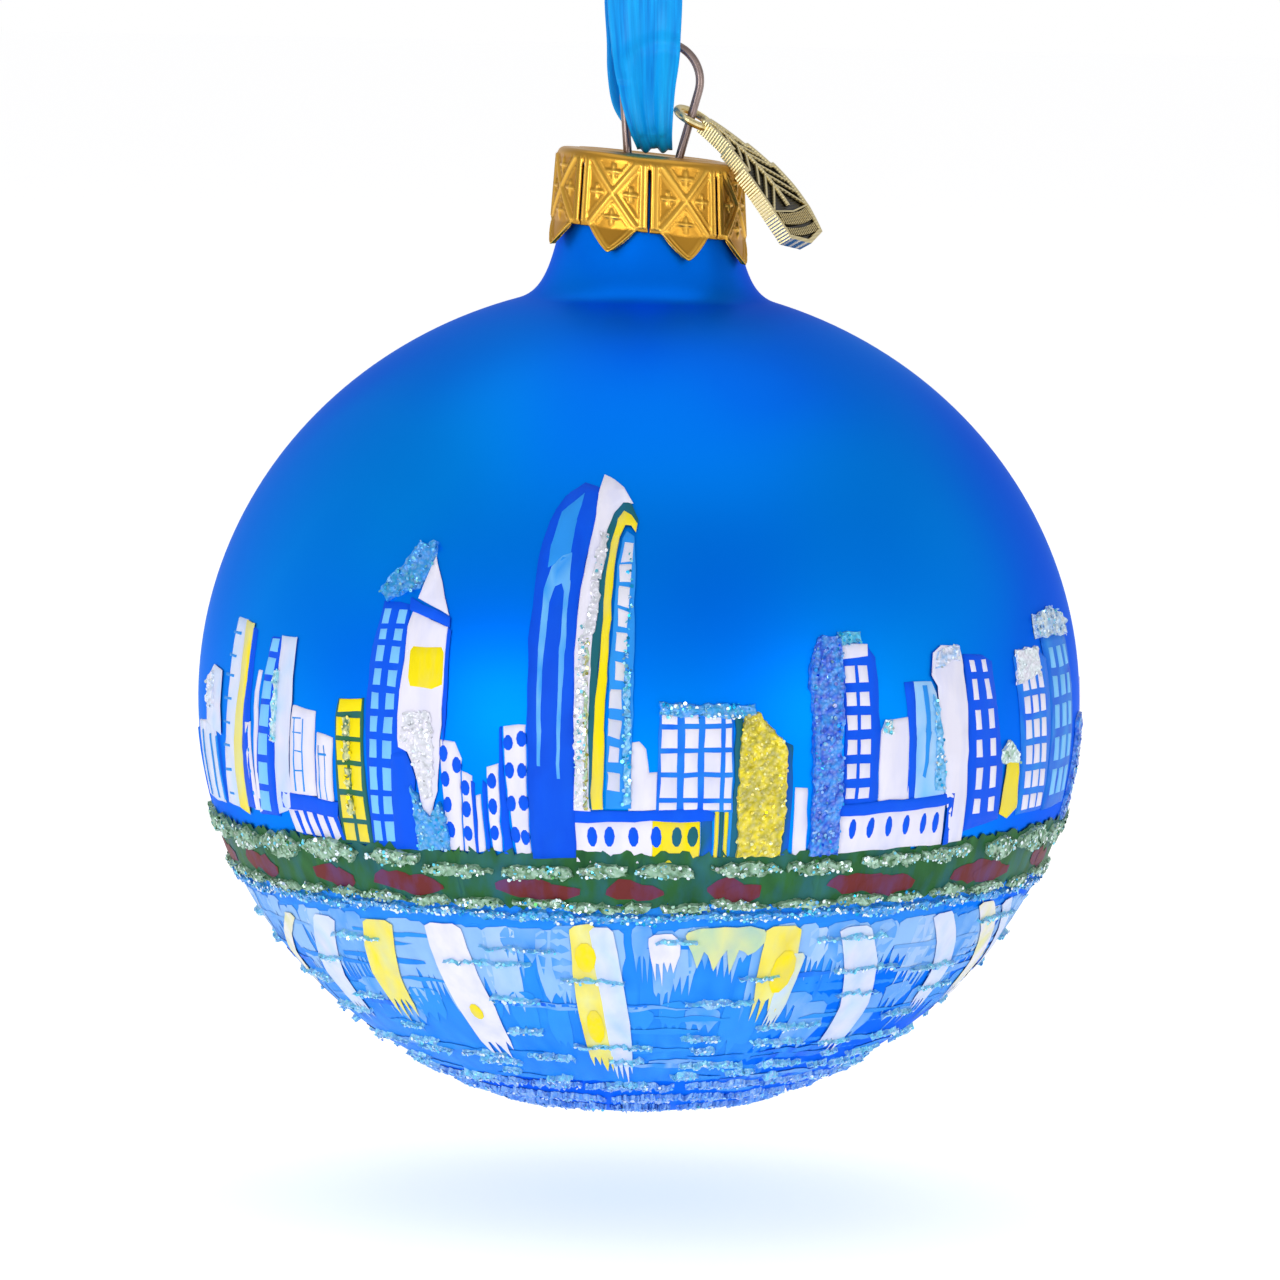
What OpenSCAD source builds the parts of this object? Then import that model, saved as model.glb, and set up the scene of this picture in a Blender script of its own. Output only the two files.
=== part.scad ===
// A hand-painted blown-glass ball ornament, with its stamped cap, wire hanger, cast charm and satin hanging ribbon.
// Millimetres. +Z is up and -Y is the front. The origin is the hanging point, inside the top of the ribbon loop.

/* [Glass ball] */
// Diameter of the ball at its widest
ball_d = 83; // [80:0.5:86]
// Height that the ball would have without its neck
ball_h = 78; // [76:0.5:80]
// Thickness of the blown glass
wall = 0.8; // [0.6:0.1:1]
// Outer radius of the neck where the cap grips it
neck_r = 7.9; // [7.6:0.1:8]
// Height of the neck's rim above the ball's centre
neck_top = 49.7; // [49:0.1:49.8]

/* [Cap] */
// Height of the cap's top above the ball's centre
cap_top = 50.9; // [50.8:0.1:51.4]
// Radius of the cap at its shoulder
cap_r = 8.7; // [8.6:0.1:9]
// Radius at the lower edge of the skirt
skirt_r = 9.1; // [9:0.1:9.4]
// Radius at the points of the petals
petal_r = 9.8; // [9.7:0.1:10]
// Height of the skirt
skirt_h = 7; // [6.5:0.1:7.4]
// Height down to the points of the petals
petal_h = 9.1; // [8.6:0.1:9.2]
// Thickness of the stamped sheet
cap_wall = 0.35; // [0.3:0.05:0.4]
// Number of stamped panels, each with its petal
panels = 8; // [8]
// How far the cap and its wire sit crooked on the neck, in degrees
cap_tilt = 5; // [0:0.5:5]

/* [Hanger wire] */
// Radius of the spring wire
wire_r = 0.4; // [0.35:0.05:0.4]
// Radius of the loop, to the middle of the wire
loop_r = 3.6; // [3.4:0.1:3.8]
// Height of the loop's centre above the cap
loop_z = 7; // [6.8:0.1:7.2]
// How far each side of the loop leans in towards the cap, in degrees
loop_lean = 10; // [8:1:12]

/* [Charm] */
// Thickness of the cast plate
charm_t = 1.3; // [1:0.1:1.4]
// Radius that the plate is bent to, to lie over the cap's shoulder
charm_bend = 30; // [28:1:40]
// Radius of the eyelet's hole
eyelet_r = 1.35; // [1.3:0.05:1.4]

/* [Ribbon] */
// Width of the satin ribbon
ribbon_w = 7; // [6:0.5:8]
// Thickness of the ribbon with its folds
ribbon_t = 0.6; // [0.4:0.1:0.8]
// Height of the hanging point above the top of the wire loop
hang_h = 58; // [58]

/* [Painted relief] */
// How far the paint stands out of the glass
relief = 0.35; // [0.3:0.05:0.6]
// How much the painted scene leans to one side, in degrees
paint_lean = 1; // [0:0.5:2]

/* [Hidden] */
$fn = 48;

a = ball_d / 2;
c = ball_h / 2;
arch_top = cap_top + loop_z + loop_r;          // middle of the wire at the top of its loop
ball_z = -hang_h - arch_top;                   // the ball's centre in the part's frame
tilt_z = cap_top - skirt_h / 2;                // the height about which the wire sits crooked

// ---- the ball's outline ------------------------------------------------------------------------

// Point of the ellipse at an angle above the equator, moved outwards by lift
function on_ellipse(t, lift) = [(a + lift) * cos(t), (c + lift) * sin(t)];
// Point of a cubic curve through four guides
function bezier(p, u) = pow(1 - u, 3) * p[0] + 3 * pow(1 - u, 2) * u * p[1]
                      + 3 * (1 - u) * u * u * p[2] + pow(u, 3) * p[3];

shoulder_t = 73;      // angle at which the ball runs into the neck
flare_pull = 2.5;     // how far the curve keeps the ball's direction
flare_r = 8.9;        // radius and height that the neck's foot is drawn towards
flare_z = 40.5;
flare_top = 46.5;     // height at which the neck is straight

// Outline of the ball and neck from the lowest point up to the rim, moved outwards by lift
function globe_outline(lift) = let (
        foot = on_ellipse(shoulder_t, lift),
        run = [a * sin(shoulder_t), -c * cos(shoulder_t)] / norm([a * sin(shoulder_t), c * cos(shoulder_t)]),
        guides = [foot, foot - flare_pull * run,
                  [flare_r + lift, flare_z], [neck_r + lift, flare_top]])
    concat([for (i = [0:29]) on_ellipse(-90 + (90 + shoulder_t) * i / 30, lift)],
           [for (u = [0:0.1:1]) bezier(guides, u)],
           [[neck_r + lift, neck_top]]);

function backwards(list) = [for (i = [len(list) - 1:-1:0]) list[i]];

module glass_globe() {
    color("royalblue")
    translate([0, 0, ball_z])
    rotate_extrude($fn = 96)
    polygon(concat(globe_outline(0), backwards(globe_outline(-wall))));
}

// ---- cap ---------------------------------------------------------------------------------------

// Puts the cap on the neck with its top at z = 0. It slopes to one side, but its skirt still grips the straight neck.
module on_neck() {
    translate([0, 0, ball_z + cap_top])
    multmatrix([[1, 0, 0, 0], [0, 1, 0, 0], [-tan(cap_tilt), 0, 1, 0], [0, 0, 0, 1]])
    children();
}

// Puts the wire's own frame, with the cap's top at z = 0, in the cap: the wire turns as a whole
module in_cap() {
    translate([0, 0, ball_z + tilt_z])
    rotate([0, cap_tilt, 0])
    translate([0, 0, cap_top - tilt_z])
    children();
}

// Outline of the cap from the middle of its top, round the shoulder and down to the petals, pressed in by inset
shoulder = 0.8;
function cap_outline(inset) = concat(
    [[0, -inset]],
    [for (t = [90:-15:0]) [cap_r - shoulder + (shoulder - inset) * cos(t), (shoulder - inset) * sin(t) - shoulder]],
    [[skirt_r - inset, -skirt_h], [petal_r - inset, -petal_h]]);

// What is cut away between two petals, seen from outside
valley = [[-1.1, 0], [1.1, 0], [2.5, -1.1], [3.5, -1.9], [3.5, -4], [-3.5, -4], [-3.5, -1.9], [-2.5, -1.1]];
slit_w = 0.35;
slit_top = 1.2;
leg_hole_r = 0.6;
leg_x = loop_r / cos(loop_lean) - loop_z * tan(loop_lean);   // where each leg passes the cap

module ornament_cap() {
    reach = petal_r + 2;
    color("goldenrod")
    difference() {
        on_neck() difference() {
            rotate_extrude($fn = 96) polygon(concat(cap_outline(0), backwards(cap_outline(cap_wall))));
            for (i = [0:panels - 1])
                rotate(360 / panels * i) {
                    translate([0, 0, -skirt_h]) rotate([90, 0, 0]) linear_extrude(reach) polygon(valley);
                    translate([-slit_w / 2, -reach, -skirt_h - 1]) cube([slit_w, reach - 5, skirt_h + 1 - slit_top]);
                }
        }
        in_cap() for (side = [-1, 1])
            translate([side * leg_x, 0, -1.5]) cylinder(r = leg_hole_r, h = 3);
    }
}

// ---- hanger wire -------------------------------------------------------------------------------

leg_l = 9;            // straight length from the loop through the cap
spring_bend = 24;     // how far each leg turns outwards inside the neck, in degrees
spring_r = 3;         // radius of that bend
spring_l = 12.5;      // straight length that springs against the neck
wire_sides = 12;

// Direction down a leg that leans outwards by an angle, in the loop's plane
function heading(lean) = [sin(lean), -cos(lean)];

// Middle of the wire from its loop down the leg on the +X side, in the loop's plane
leg_line = let (
        start = [loop_r * cos(loop_lean), loop_z - loop_r * sin(loop_lean)],
        knee = start + leg_l * heading(-loop_lean),
        bend = [for (t = [0:4:spring_bend]) let (lean = t - loop_lean)
            knee + spring_r * [cos(loop_lean) - cos(lean), -sin(loop_lean) - sin(lean)]])
    concat([for (s = [1.5:1.5:leg_l - 1]) start + s * heading(-loop_lean)], bend,
           [for (s = [1, 0.5, 0]) bend[len(bend) - 1] + (spring_l - s) * heading(spring_bend - loop_lean)]);

// Middle of the whole wire, from the end of one leg over the loop to the end of the other
wire_line = concat(
    backwards(leg_line),
    [for (t = [-loop_lean:8:180 + loop_lean]) [loop_r * cos(t), loop_z + loop_r * sin(t)]],
    [for (p = leg_line) [-p[0], p[1]]]);

module hanger_wire() {
    n = len(wire_line);
    rings = [for (i = [0:n - 1]) let (
            run = wire_line[min(i + 1, n - 1)] - wire_line[max(i - 1, 0)],
            out = [run[1], -run[0]] / norm(run))
        for (k = [0:wire_sides - 1]) let (t = 360 * k / wire_sides)
            [wire_line[i][0] + wire_r * cos(t) * out[0], wire_r * sin(t), wire_line[i][1] + wire_r * cos(t) * out[1]]];
    walls = [for (i = [0:n - 2], k = [0:wire_sides - 1]) let (m = (k + 1) % wire_sides)
        [(i + 1) * wire_sides + k, (i + 1) * wire_sides + m, i * wire_sides + m, i * wire_sides + k]];
    color("dimgray")
    in_cap()
        polyhedron(rings, concat([[for (k = [0:wire_sides - 1]) k]], walls,
            [[for (k = [wire_sides - 1:-1:0]) (n - 1) * wire_sides + k]]), convexity = 6);
}

// ---- charm -------------------------------------------------------------------------------------

charm_lean = 60;      // from hanging straight down to lying on the cap's shoulder
charm_yaw = 22;       // turned a little to the front
charm_roll = 4;       // turned about its own length
eyelet_z = 4;         // height on the wire above the cap
eyelet_x = leg_x + eyelet_z * tan(loop_lean);
eyelet_drop = 0.3;    // how far the eyelet hangs off the wire
eyelet_t = 0.8;       // thickness of the eyelet's ring
eyelet_rim = 2.1;     // its outer radius

// One half of the charm's outline, in three tiers that widen like a fir tree's, with a round foot
tier = [[0.9, 1.2], [1.7, 5], [2.3, 5], [3, 7.7], [3.6, 7.7], [4.1, 10.5], [4.2, 13], [3.8, 15.6]];
foot_sag = 0.9;

// Puts the charm's own frame, with the eyelet at its origin and the plate hanging down, on the wire
module on_wire() {
    in_cap() translate([eyelet_x, 0, eyelet_z])
        rotate([0, -cap_tilt, 0])
        rotate([0, 0, -charm_yaw]) rotate([0, -charm_lean, 0]) rotate([0, 0, -charm_roll])
        translate([0, 0, -eyelet_drop])
        children();
}

module pendant_charm() {
    outline = concat([for (p = tier) [p[0], -p[1]]], [[0, -15.6 - foot_sag]], [for (p = backwards(tier)) [-p[0], -p[1]]]);
    color("khaki")
    on_wire() {
        difference() {
            translate([-charm_bend, 0, 0]) rotate([90, 0, 0]) difference() {
                cylinder(r = charm_bend + charm_t / 2, h = 20, center = true, $fn = 96);
                cylinder(r = charm_bend - charm_t / 2, h = 21, center = true, $fn = 96);
            }
            difference() {
                translate([-70, -25, -50]) cube([80, 50, 100]);
                rotate([0, 90, 0]) rotate(90) translate([0, 0, -4]) linear_extrude(6) polygon([for (p = outline) [p[0], p[1]]]);
            }
        }
        rotate([0, 90, 0]) difference() {
            cylinder(r = eyelet_rim, h = eyelet_t, center = true);
            cylinder(r = eyelet_r, h = 3, center = true);
        }
    }
}

// ---- ribbon ------------------------------------------------------------------------------------

// The route of the ribbon from the knot down the front, under the wire loop and up the back: x, y, z and width.
// z counts from the hanging point.
knot_z = 1.5;
route = [
    [0, -0.9, knot_z, 5.6], [0, -0.9, 0, 6], [-0.1, -1.8, -4, 6.6], [-0.3, -3.1, -10, 7], [-0.5, -3.9, -17, 7],
    [-0.7, -4.2, -25, 7], [-0.9, -3.9, -33, 7], [-0.9, -3.2, -41, 7], [-0.9, -2.3, -48, 7], [-0.8, -1.5, -54, 7],
    [-0.6, -1.3, -58, 6.4], [-0.4, -1.5, -60, 5.6], [-0.2, -1.8, -62, 4.6], [0, -1.9, -64, 3.8], [0.2, -1.7, -66, 3.6],
    [0.4, -0.8, -67.2, 3.5], [0.4, 0.4, -67.5, 3.5], [0.2, 1.6, -67.2, 3.5], [-0.5, 2.6, -66.2, 4],
    [-1.3, 2.9, -64, 4.8], [-1.5, 2.7, -61, 5.3], [-1.4, 2.5, -58, 5.8], [-1.4, 2.4, -54, 6.4], [-1.2, 2.7, -48, 7],
    [-0.9, 3.3, -41, 7], [-0.7, 3.9, -33, 7], [-0.5, 4.2, -25, 7], [-0.3, 3.9, -17, 7], [-0.2, 3.1, -10, 7],
    [-0.1, 1.8, -4, 6.6], [0, 0.9, 0, 6], [0, 0.9, knot_z, 5.6]];
steps = 2;            // rings for each stretch of the route

// Smooth curve through the points of a list, at stretch i and share u of it
function along(p, i, u) = let (
        n = len(p) - 1, p0 = p[max(i - 1, 0)], p1 = p[i], p2 = p[min(i + 1, n)], p3 = p[min(i + 2, n)])
    0.5 * (2 * p1 + (p2 - p0) * u + (2 * p0 - 5 * p1 + 4 * p2 - p3) * u * u
           + (3 * p1 - p0 - 3 * p2 + p3) * u * u * u);

// Eight points round a flat band of width w and thickness t, with softened edges
function band(w, t) = [[w, t / 2], [w - t / 2, t], [t / 2 - w, t], [-w, t / 2],
                       [-w, -t / 2], [t / 2 - w, -t], [w - t / 2, -t], [w, -t / 2]] / 2;

// A band swept along a list of points that each hold x, y, z and the width there
module swept_band(path, t) {
    n = len(path);
    rings = [for (i = [0:n - 1]) let (
            before = path[max(i - 1, 0)], after = path[min(i + 1, n - 1)],
            run = [0, after[1] - before[1], after[2] - before[2]],
            side = (i == 0 || i == n - 1) ? [0, sign(run[2]), 0] : [0, run[2], -run[1]] / norm(run))
        for (p = band(path[i][3], t)) [path[i][0], path[i][1], path[i][2]] + p[0] * [1, 0, 0] + p[1] * side];
    walls = [for (i = [0:n - 2], k = [0:7]) let (m = (k + 1) % 8)
        [i * 8 + k, i * 8 + m, (i + 1) * 8 + m, (i + 1) * 8 + k]];
    polyhedron(rings, concat([[for (k = [7:-1:0]) k]], walls, [[for (k = [0:7]) (n - 1) * 8 + k]]), convexity = 6);
}

module ribbon_loop() {
    n = len(route) - 1;
    color("deepskyblue")
    swept_band(concat([for (i = [0:n - 1], u = [0:steps - 1]) along(route, i, u / steps)], [route[n]]), ribbon_t);
}

// The overhand knot of both ends, a flat-footed bundle, with its two short tails
tail_l = 15;
module ribbon_knot() {
    color("dodgerblue") {
        translate([0, 0, knot_z]) rotate_extrude()
            polygon([[0, 0], [2.7, 0], [3.4, 1.2], [3.5, 2.8], [2.9, 4.4], [1.8, 5.4], [0, 5.6]]);
        for (s = [-1, 1])
            translate([s * 0.6, s * 0.8, knot_z + 3.6]) rotate([-s * 24, s * 16, 0])
                translate([-ribbon_w / 2 + 0.4, -ribbon_t / 2, 0]) cube([ribbon_w - 0.8, ribbon_t, tail_l]);
    }
}

// ---- painted relief ----------------------------------------------------------------------------

// Point of the ball at azimuth az, counted from the front towards +X, and height z, moved outwards by lift
function on_ball(az, z, lift) = let (t = asin(z / c), p = on_ellipse(t, lift))
    [p[0] * sin(az), -p[0] * cos(az), p[1]];

// A raised patch of paint between azimuths az0 and az1, from height low up to a top edge that slopes from
// top0 to top1. It reaches a little into the glass, as paint bonds to it.
module patch(az0, az1, low, top0, top1, lift = relief) {
    nu = max(1, ceil(abs(az1 - az0) / 9));
    nv = max(1, ceil((max(top0, top1) - low) / 5));
    row = nu + 1;
    sheet = row * (nv + 1);
    points = [for (l = [lift, -0.2], j = [0:nv], i = [0:nu]) let (
            u = i / nu, top = top0 + (top1 - top0) * u)
        on_ball(az0 + (az1 - az0) * u, low + (top - low) * j / nv, l)];
    outer = [for (j = [0:nv - 1], i = [0:nu - 1]) let (k = j * row + i) [k, k + row, k + row + 1, k + 1]];
    inner = [for (f = outer) [for (k = backwards(f)) k + sheet]];
    edge = concat([for (i = [0:nu]) i], [for (j = [1:nv]) j * row + nu],
                  [for (i = [nu - 1:-1:0]) nv * row + i], [for (j = [nv - 1:-1:1]) j * row]);
    m = len(edge);
    rim = [for (i = [0:m - 1]) let (p = edge[i], q = edge[(i + 1) % m]) [p, q, q + sheet, p + sheet]];
    polyhedron(points, concat(outer, inner, rim), convexity = 8);
}

// Puts the painted scene on the ball
module painted() {
    translate([0, 0, ball_z]) rotate([0, -paint_lean, 0]) children();
}

ground = -10;         // height of the foot of the buildings
shore = -16;          // height of the water's edge
water_end = -35;      // where the painted water fades out

// The buildings, from left to right round the ball: left azimuth, right azimuth, top on the left, top on the right
buildings = [
    [-84, -76, -1, -1], [-74, -68, 3.7, 3.7], [-66, -60, 8.7, 8.7], [-57, -49.5, 7.7, 7.7], [-49, -44.8, 1.5, 1.5],
    [-44.4, -41.8, -0.7, -0.7], [-41, -36.7, 2.8, 2.8], [-36, -31, 11.3, 14], [-30.7, -25.2, 15, 9.5],
    [-24.8, -22.3, -0.5, -1.5], [-22, -20.8, -3.3, -3.3], [-19, -17.5, -2.4, -2.4], [-16.6, -14.1, 1.1, 1.1],
    [-13.6, -8, 17, 21.5], [-7.7, -0.5, 22, 18], [0, 2.2, -0.5, -2.8], [2.6, 11.8, 3, 3], [12.3, 18.9, 2.4, -0.5],
    [19.8, 21.6, -4.6, -4.6], [22, 26.2, 8.5, 9], [26.5, 31.3, 8.1, 7.5], [31.6, 36.2, 0.8, 1.2],
    [36.6, 39.9, 4.5, 4.4], [40.2, 45.4, 7, 7.4], [45.7, 51.5, 6.5, 5.8], [53, 57, -2, -2], [57.5, 63.1, 6, 6.3],
    [63.5, 74, 9, 8], [76, 86, 3, 3]];
// The same skyline goes on behind the ball with simpler blocks
back_blocks = [for (i = [0:13]) [90 + i * 13.2, 100 + i * 13.2, 2 + 5 * sin(i * 77), 2 + 5 * sin(i * 77)]];

module skyline_relief() {
    color("white") painted()
        for (b = concat(buildings, back_blocks)) patch(b[0], b[1], ground, b[2], b[3]);
}

module shoreline_relief() {
    color("darkgreen") painted()
        for (az = [0:30:330]) patch(az, az + 29.6, shore + 0.4, ground - 0.4, ground - 0.4, relief + 0.1);
}

module water_relief() {
    color("lightskyblue") painted()
        for (az = [0:30:330]) patch(az, az + 29.6, water_end, shore - 0.2, shore - 0.2, relief - 0.1);
}

glass_globe();
ornament_cap();
hanger_wire();
pendant_charm();
ribbon_loop();
ribbon_knot();
skyline_relief();
shoreline_relief();
water_relief();
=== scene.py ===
# %% [markdown]
# # A hand-painted glass ball ornament
#
# A blown-glass ball is lacquered blue, and a city by the water is painted on it in thick enamel and glitter.
# A stamped gold cap with a sprung wire closes its neck, a small cast charm hangs on the wire, and a satin ribbon
# carries it all. This lesson builds the looks of each piece round the measured frame of the part.

import math
import random

import bmesh
import bpy
from mathutils import Matrix, Vector, noise


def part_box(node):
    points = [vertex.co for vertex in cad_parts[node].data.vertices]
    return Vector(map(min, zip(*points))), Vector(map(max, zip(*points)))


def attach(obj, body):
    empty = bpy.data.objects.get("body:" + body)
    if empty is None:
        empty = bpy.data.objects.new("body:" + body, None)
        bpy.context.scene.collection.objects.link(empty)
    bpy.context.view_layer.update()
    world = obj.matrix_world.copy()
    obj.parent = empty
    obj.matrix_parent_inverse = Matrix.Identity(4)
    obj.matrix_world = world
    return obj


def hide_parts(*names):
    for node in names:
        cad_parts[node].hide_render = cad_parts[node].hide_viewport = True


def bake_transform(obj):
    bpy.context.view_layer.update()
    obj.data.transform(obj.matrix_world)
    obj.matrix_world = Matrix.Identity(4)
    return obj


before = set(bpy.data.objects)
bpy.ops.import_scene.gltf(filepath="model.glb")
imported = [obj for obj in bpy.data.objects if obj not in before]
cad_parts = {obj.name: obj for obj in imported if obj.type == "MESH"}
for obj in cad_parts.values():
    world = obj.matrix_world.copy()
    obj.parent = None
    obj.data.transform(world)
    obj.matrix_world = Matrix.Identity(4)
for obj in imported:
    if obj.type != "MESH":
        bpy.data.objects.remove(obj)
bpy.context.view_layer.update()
MM = 0.001
globe_low, globe_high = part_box("glass_globe")
BALL_A = (globe_high.x - globe_low.x) / 2 / MM      # half the ball's width, in mm
BALL_C = 39.0                                       # half its height without the neck, in mm
BALL = Vector((0, 0, globe_low.z + BALL_C * MM))    # the ball's middle
print("ball's middle", [round(v / MM, 2) for v in BALL], "half width", round(BALL_A, 2))

# %% [markdown]
# ## Camera, floor and light
#
# Small shiny things are photographed from well back with a long lens, so that the ball keeps its true outline.
# The camera stands 700 mm away and 5 degrees above the ball's middle, and leans a little to one side. The
# ornament hangs just above a white table, in the light of large soft boxes: two give the lacquer its broad
# azure sheen, and one overhead draws the soft shadow on the table.

# %% Camera
distance, height_angle, roll = 700 * MM, math.radians(5), math.radians(1.2)
aim = BALL + Vector((0, 0, 5.3 * MM))
back = Vector((0, -math.cos(height_angle), math.sin(height_angle)))
right = Vector((1, 0, 0))
up = back.cross(right)
leaning_right = right * math.cos(roll) + up * math.sin(roll)
leaning_up = up * math.cos(roll) - right * math.sin(roll)
camera = bpy.data.objects.new("camera", bpy.data.cameras.new("camera"))
camera.data.sensor_width = 36
camera.data.lens = 209
camera.data.clip_start, camera.data.clip_end = 0.05, 20
camera.matrix_world = Matrix((
    (leaning_right.x, leaning_up.x, back.x, aim.x + back.x * distance),
    (leaning_right.y, leaning_up.y, back.y, aim.y + back.y * distance),
    (leaning_right.z, leaning_up.z, back.z, aim.z + back.z * distance),
    (0, 0, 0, 1)))
bpy.context.scene.collection.objects.link(camera)
bpy.context.scene.camera = camera
print("camera at", [round(v, 3) for v in camera.matrix_world.translation])

# %% [markdown]
# ## Finishes
#
# Every finish is a small node tree that starts from what the real material is. Colours are written as the hex
# values of a paint chart, and one function turns them to the linear light that shaders work in.

# %% Helpers for finishes


def colour(chart):
    """Linear colour of a paint chart's hex value."""
    parts = [int(chart[i:i + 2], 16) / 255 for i in (1, 3, 5)]
    return [p / 12.92 if p <= 0.04045 else ((p + 0.055) / 1.055) ** 2.4 for p in parts] + [1.0]


def add(tree, kind, settings=None, links=None):
    """Adds a node, sets its values and sockets, and feeds its sockets from (node, output) pairs."""
    made = tree.nodes.new(kind)
    for key, value in (settings or {}).items():
        if isinstance(key, int):
            made.inputs[key].default_value = value
        elif hasattr(made, key):
            setattr(made, key, value)
        else:
            made.inputs[key].default_value = value
    for key, (source, output) in (links or {}).items():
        tree.links.new(source.outputs[output], made.inputs[key])
    return made


def new_finish(name, chart, **sockets):
    """A material whose shader has these plain values, with its tree and shader."""
    material = bpy.data.materials.new(name)
    material.use_nodes = True
    shader = material.node_tree.nodes["Principled BSDF"]
    shader.inputs["Base Color"].default_value = colour(chart)
    for key, value in sockets.items():
        shader.inputs[key.replace("_", " ")].default_value = value
    material.diffuse_color = colour(chart)
    return material, material.node_tree, shader


def blend_colours(tree, share, low, high):
    """A colour that goes from low to high with a share, each a chart value or a (node, output) pair."""
    mix = add(tree, "ShaderNodeMix", {"data_type": "RGBA"}, {0: share})
    for socket, value in ((6, low), (7, high)):
        if isinstance(value, str):
            mix.inputs[socket].default_value = colour(value)
        else:
            tree.links.new(value[0].outputs[value[1]], mix.inputs[socket])
    return mix, 2


def roughen(tree, shader, height, strength, distance):
    """Bump from a (node, output) height."""
    bump = add(tree, "ShaderNodeBump", {"Strength": strength, "Distance": distance}, {"Height": height})
    tree.links.new(bump.outputs["Normal"], shader.inputs["Normal"])
    return bump


def put(name, bm, *finishes, smooth=True):
    """Makes a piece of a bmesh, in place, and prints its size."""
    mesh = bpy.data.meshes.new(name)
    bm.to_mesh(mesh)
    bm.free()
    for finish in finishes:
        mesh.materials.append(finish)
    if smooth:
        mesh.shade_smooth()
    piece = bpy.data.objects.new(name, mesh)
    bpy.context.scene.collection.objects.link(piece)
    print(name, len(mesh.vertices), "points", len(mesh.polygons), "faces")
    return piece


# %% Floor and soft boxes
# A white table lit from within a little, so that the shadow on it stays faint and it fades into the background.
floor_finish, _, _ = new_finish("white_light_table", "#f8f8f9", Roughness=0.9, Specular_IOR_Level=0.0,
                                Emission_Color=(1, 1, 1, 1), Emission_Strength=0.52)
floor_mesh = bmesh.new()
bmesh.ops.create_grid(floor_mesh, x_segments=4, y_segments=4, size=15,
                      matrix=Matrix.Translation((0, 0, globe_low.z - 8.5 * MM)))
floor = put("table_top", floor_mesh, floor_finish)

world = bpy.data.worlds.new("studio")
world.use_nodes = True
world.node_tree.nodes["Background"].inputs["Color"].default_value = (1, 1, 1, 1)
# A studio is brighter at the walls than overhead, which leaves the ball's shoulders darker than its middle.
way = add(world.node_tree, "ShaderNodeTexCoord")
way_parts = add(world.node_tree, "ShaderNodeSeparateXYZ", {}, {0: (way, "Generated")})
room_light = add(world.node_tree, "ShaderNodeMapRange",
                 {"From Min": 0.0, "From Max": 0.8, "To Min": 0.82, "To Max": 0.42}, {"Value": (way_parts, 2)})
ray = add(world.node_tree, "ShaderNodeLightPath")
sky_light = add(world.node_tree, "ShaderNodeMapRange", {"To Max": 1.0}, {"Value": (ray, 0), "To Min": (room_light, 0)})
world.node_tree.links.new(sky_light.outputs[0], world.node_tree.nodes["Background"].inputs["Strength"])
bpy.context.scene.world = world
bpy.context.scene.view_settings.view_transform = "Standard"


def soft_box(name, place, size, power):
    light = bpy.data.lights.new(name, "AREA")
    light.shape = "RECTANGLE"
    light.size, light.size_y, light.energy = size[0], size[1], power
    lamp = bpy.data.objects.new(name, light)
    lamp.location = BALL + Vector(place)
    lamp.rotation_mode = "QUATERNION"
    lamp.rotation_quaternion = (-Vector(place)).to_track_quat("-Z", "Y")
    bpy.context.scene.collection.objects.link(lamp)


soft_box("left_box", (-0.52, -0.8, -0.08), (0.4, 0.5), 4.6)
soft_box("right_box", (0.66, -0.72, -0.05), (0.2, 0.5), 1.7)
soft_box("top_box", (0, 0.1, 1.4), (1.6, 1.6), 5.0)

# %% [markdown]
# ## Satin ribbon
#
# The ribbon is 7 mm double-faced satin. It is one length, tied to itself in an overhand knot, and hung through
# the wire loop, so it shows two strands side on and one slack bight inside the loop. Satin is stiff across its
# width and limp along it: where the loop gathers it, it folds into lengthwise pleats.
#
# A curve with a flat bevel could draw it, but could not gather. Here a strip of mesh follows the same route as
# the measured part, and its cross-section is worked out at every step: the narrower the gather, the deeper the
# pleats, because the cloth keeps its full width.

# %% Ribbon route
ribbon_width = 7.0
route = [
    (0, -0.9, 1.5, 5.6), (0, -0.9, 0, 6), (-0.1, -1.8, -4, 6.6), (-0.3, -3.1, -10, 7), (-0.5, -3.9, -17, 7),
    (-0.7, -4.2, -25, 7), (-0.9, -3.9, -33, 7), (-0.9, -3.2, -41, 7), (-0.9, -2.3, -48, 7), (-0.8, -1.5, -54, 7),
    (-0.65, -1.4, -58, 6.5), (-0.55, -1.9, -60, 6.1), (-0.45, -2.5, -62, 5.4), (-0.3, -2.9, -64, 4.8),
    (0, -2.7, -66.2, 4), (0.35, -1.3, -67.7, 3.4), (0.4, 0.4, -68, 3.3), (0.2, 1.9, -67.5, 3.3),
    (-0.4, 3, -66.2, 3.8), (-1.2, 3.2, -64, 4.8), (-1.5, 2.9, -61, 5.3), (-1.4, 2.6, -58, 5.8),
    (-1.4, 2.4, -54, 6.4), (-1.2, 2.7, -48, 7), (-0.9, 3.3, -41, 7), (-0.7, 3.9, -33, 7), (-0.5, 4.2, -25, 7),
    (-0.3, 3.9, -17, 7), (-0.2, 3.1, -10, 7), (-0.1, 1.8, -4, 6.6), (0, 0.9, 0, 6), (0, 0.9, 1.5, 5.6)]


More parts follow.
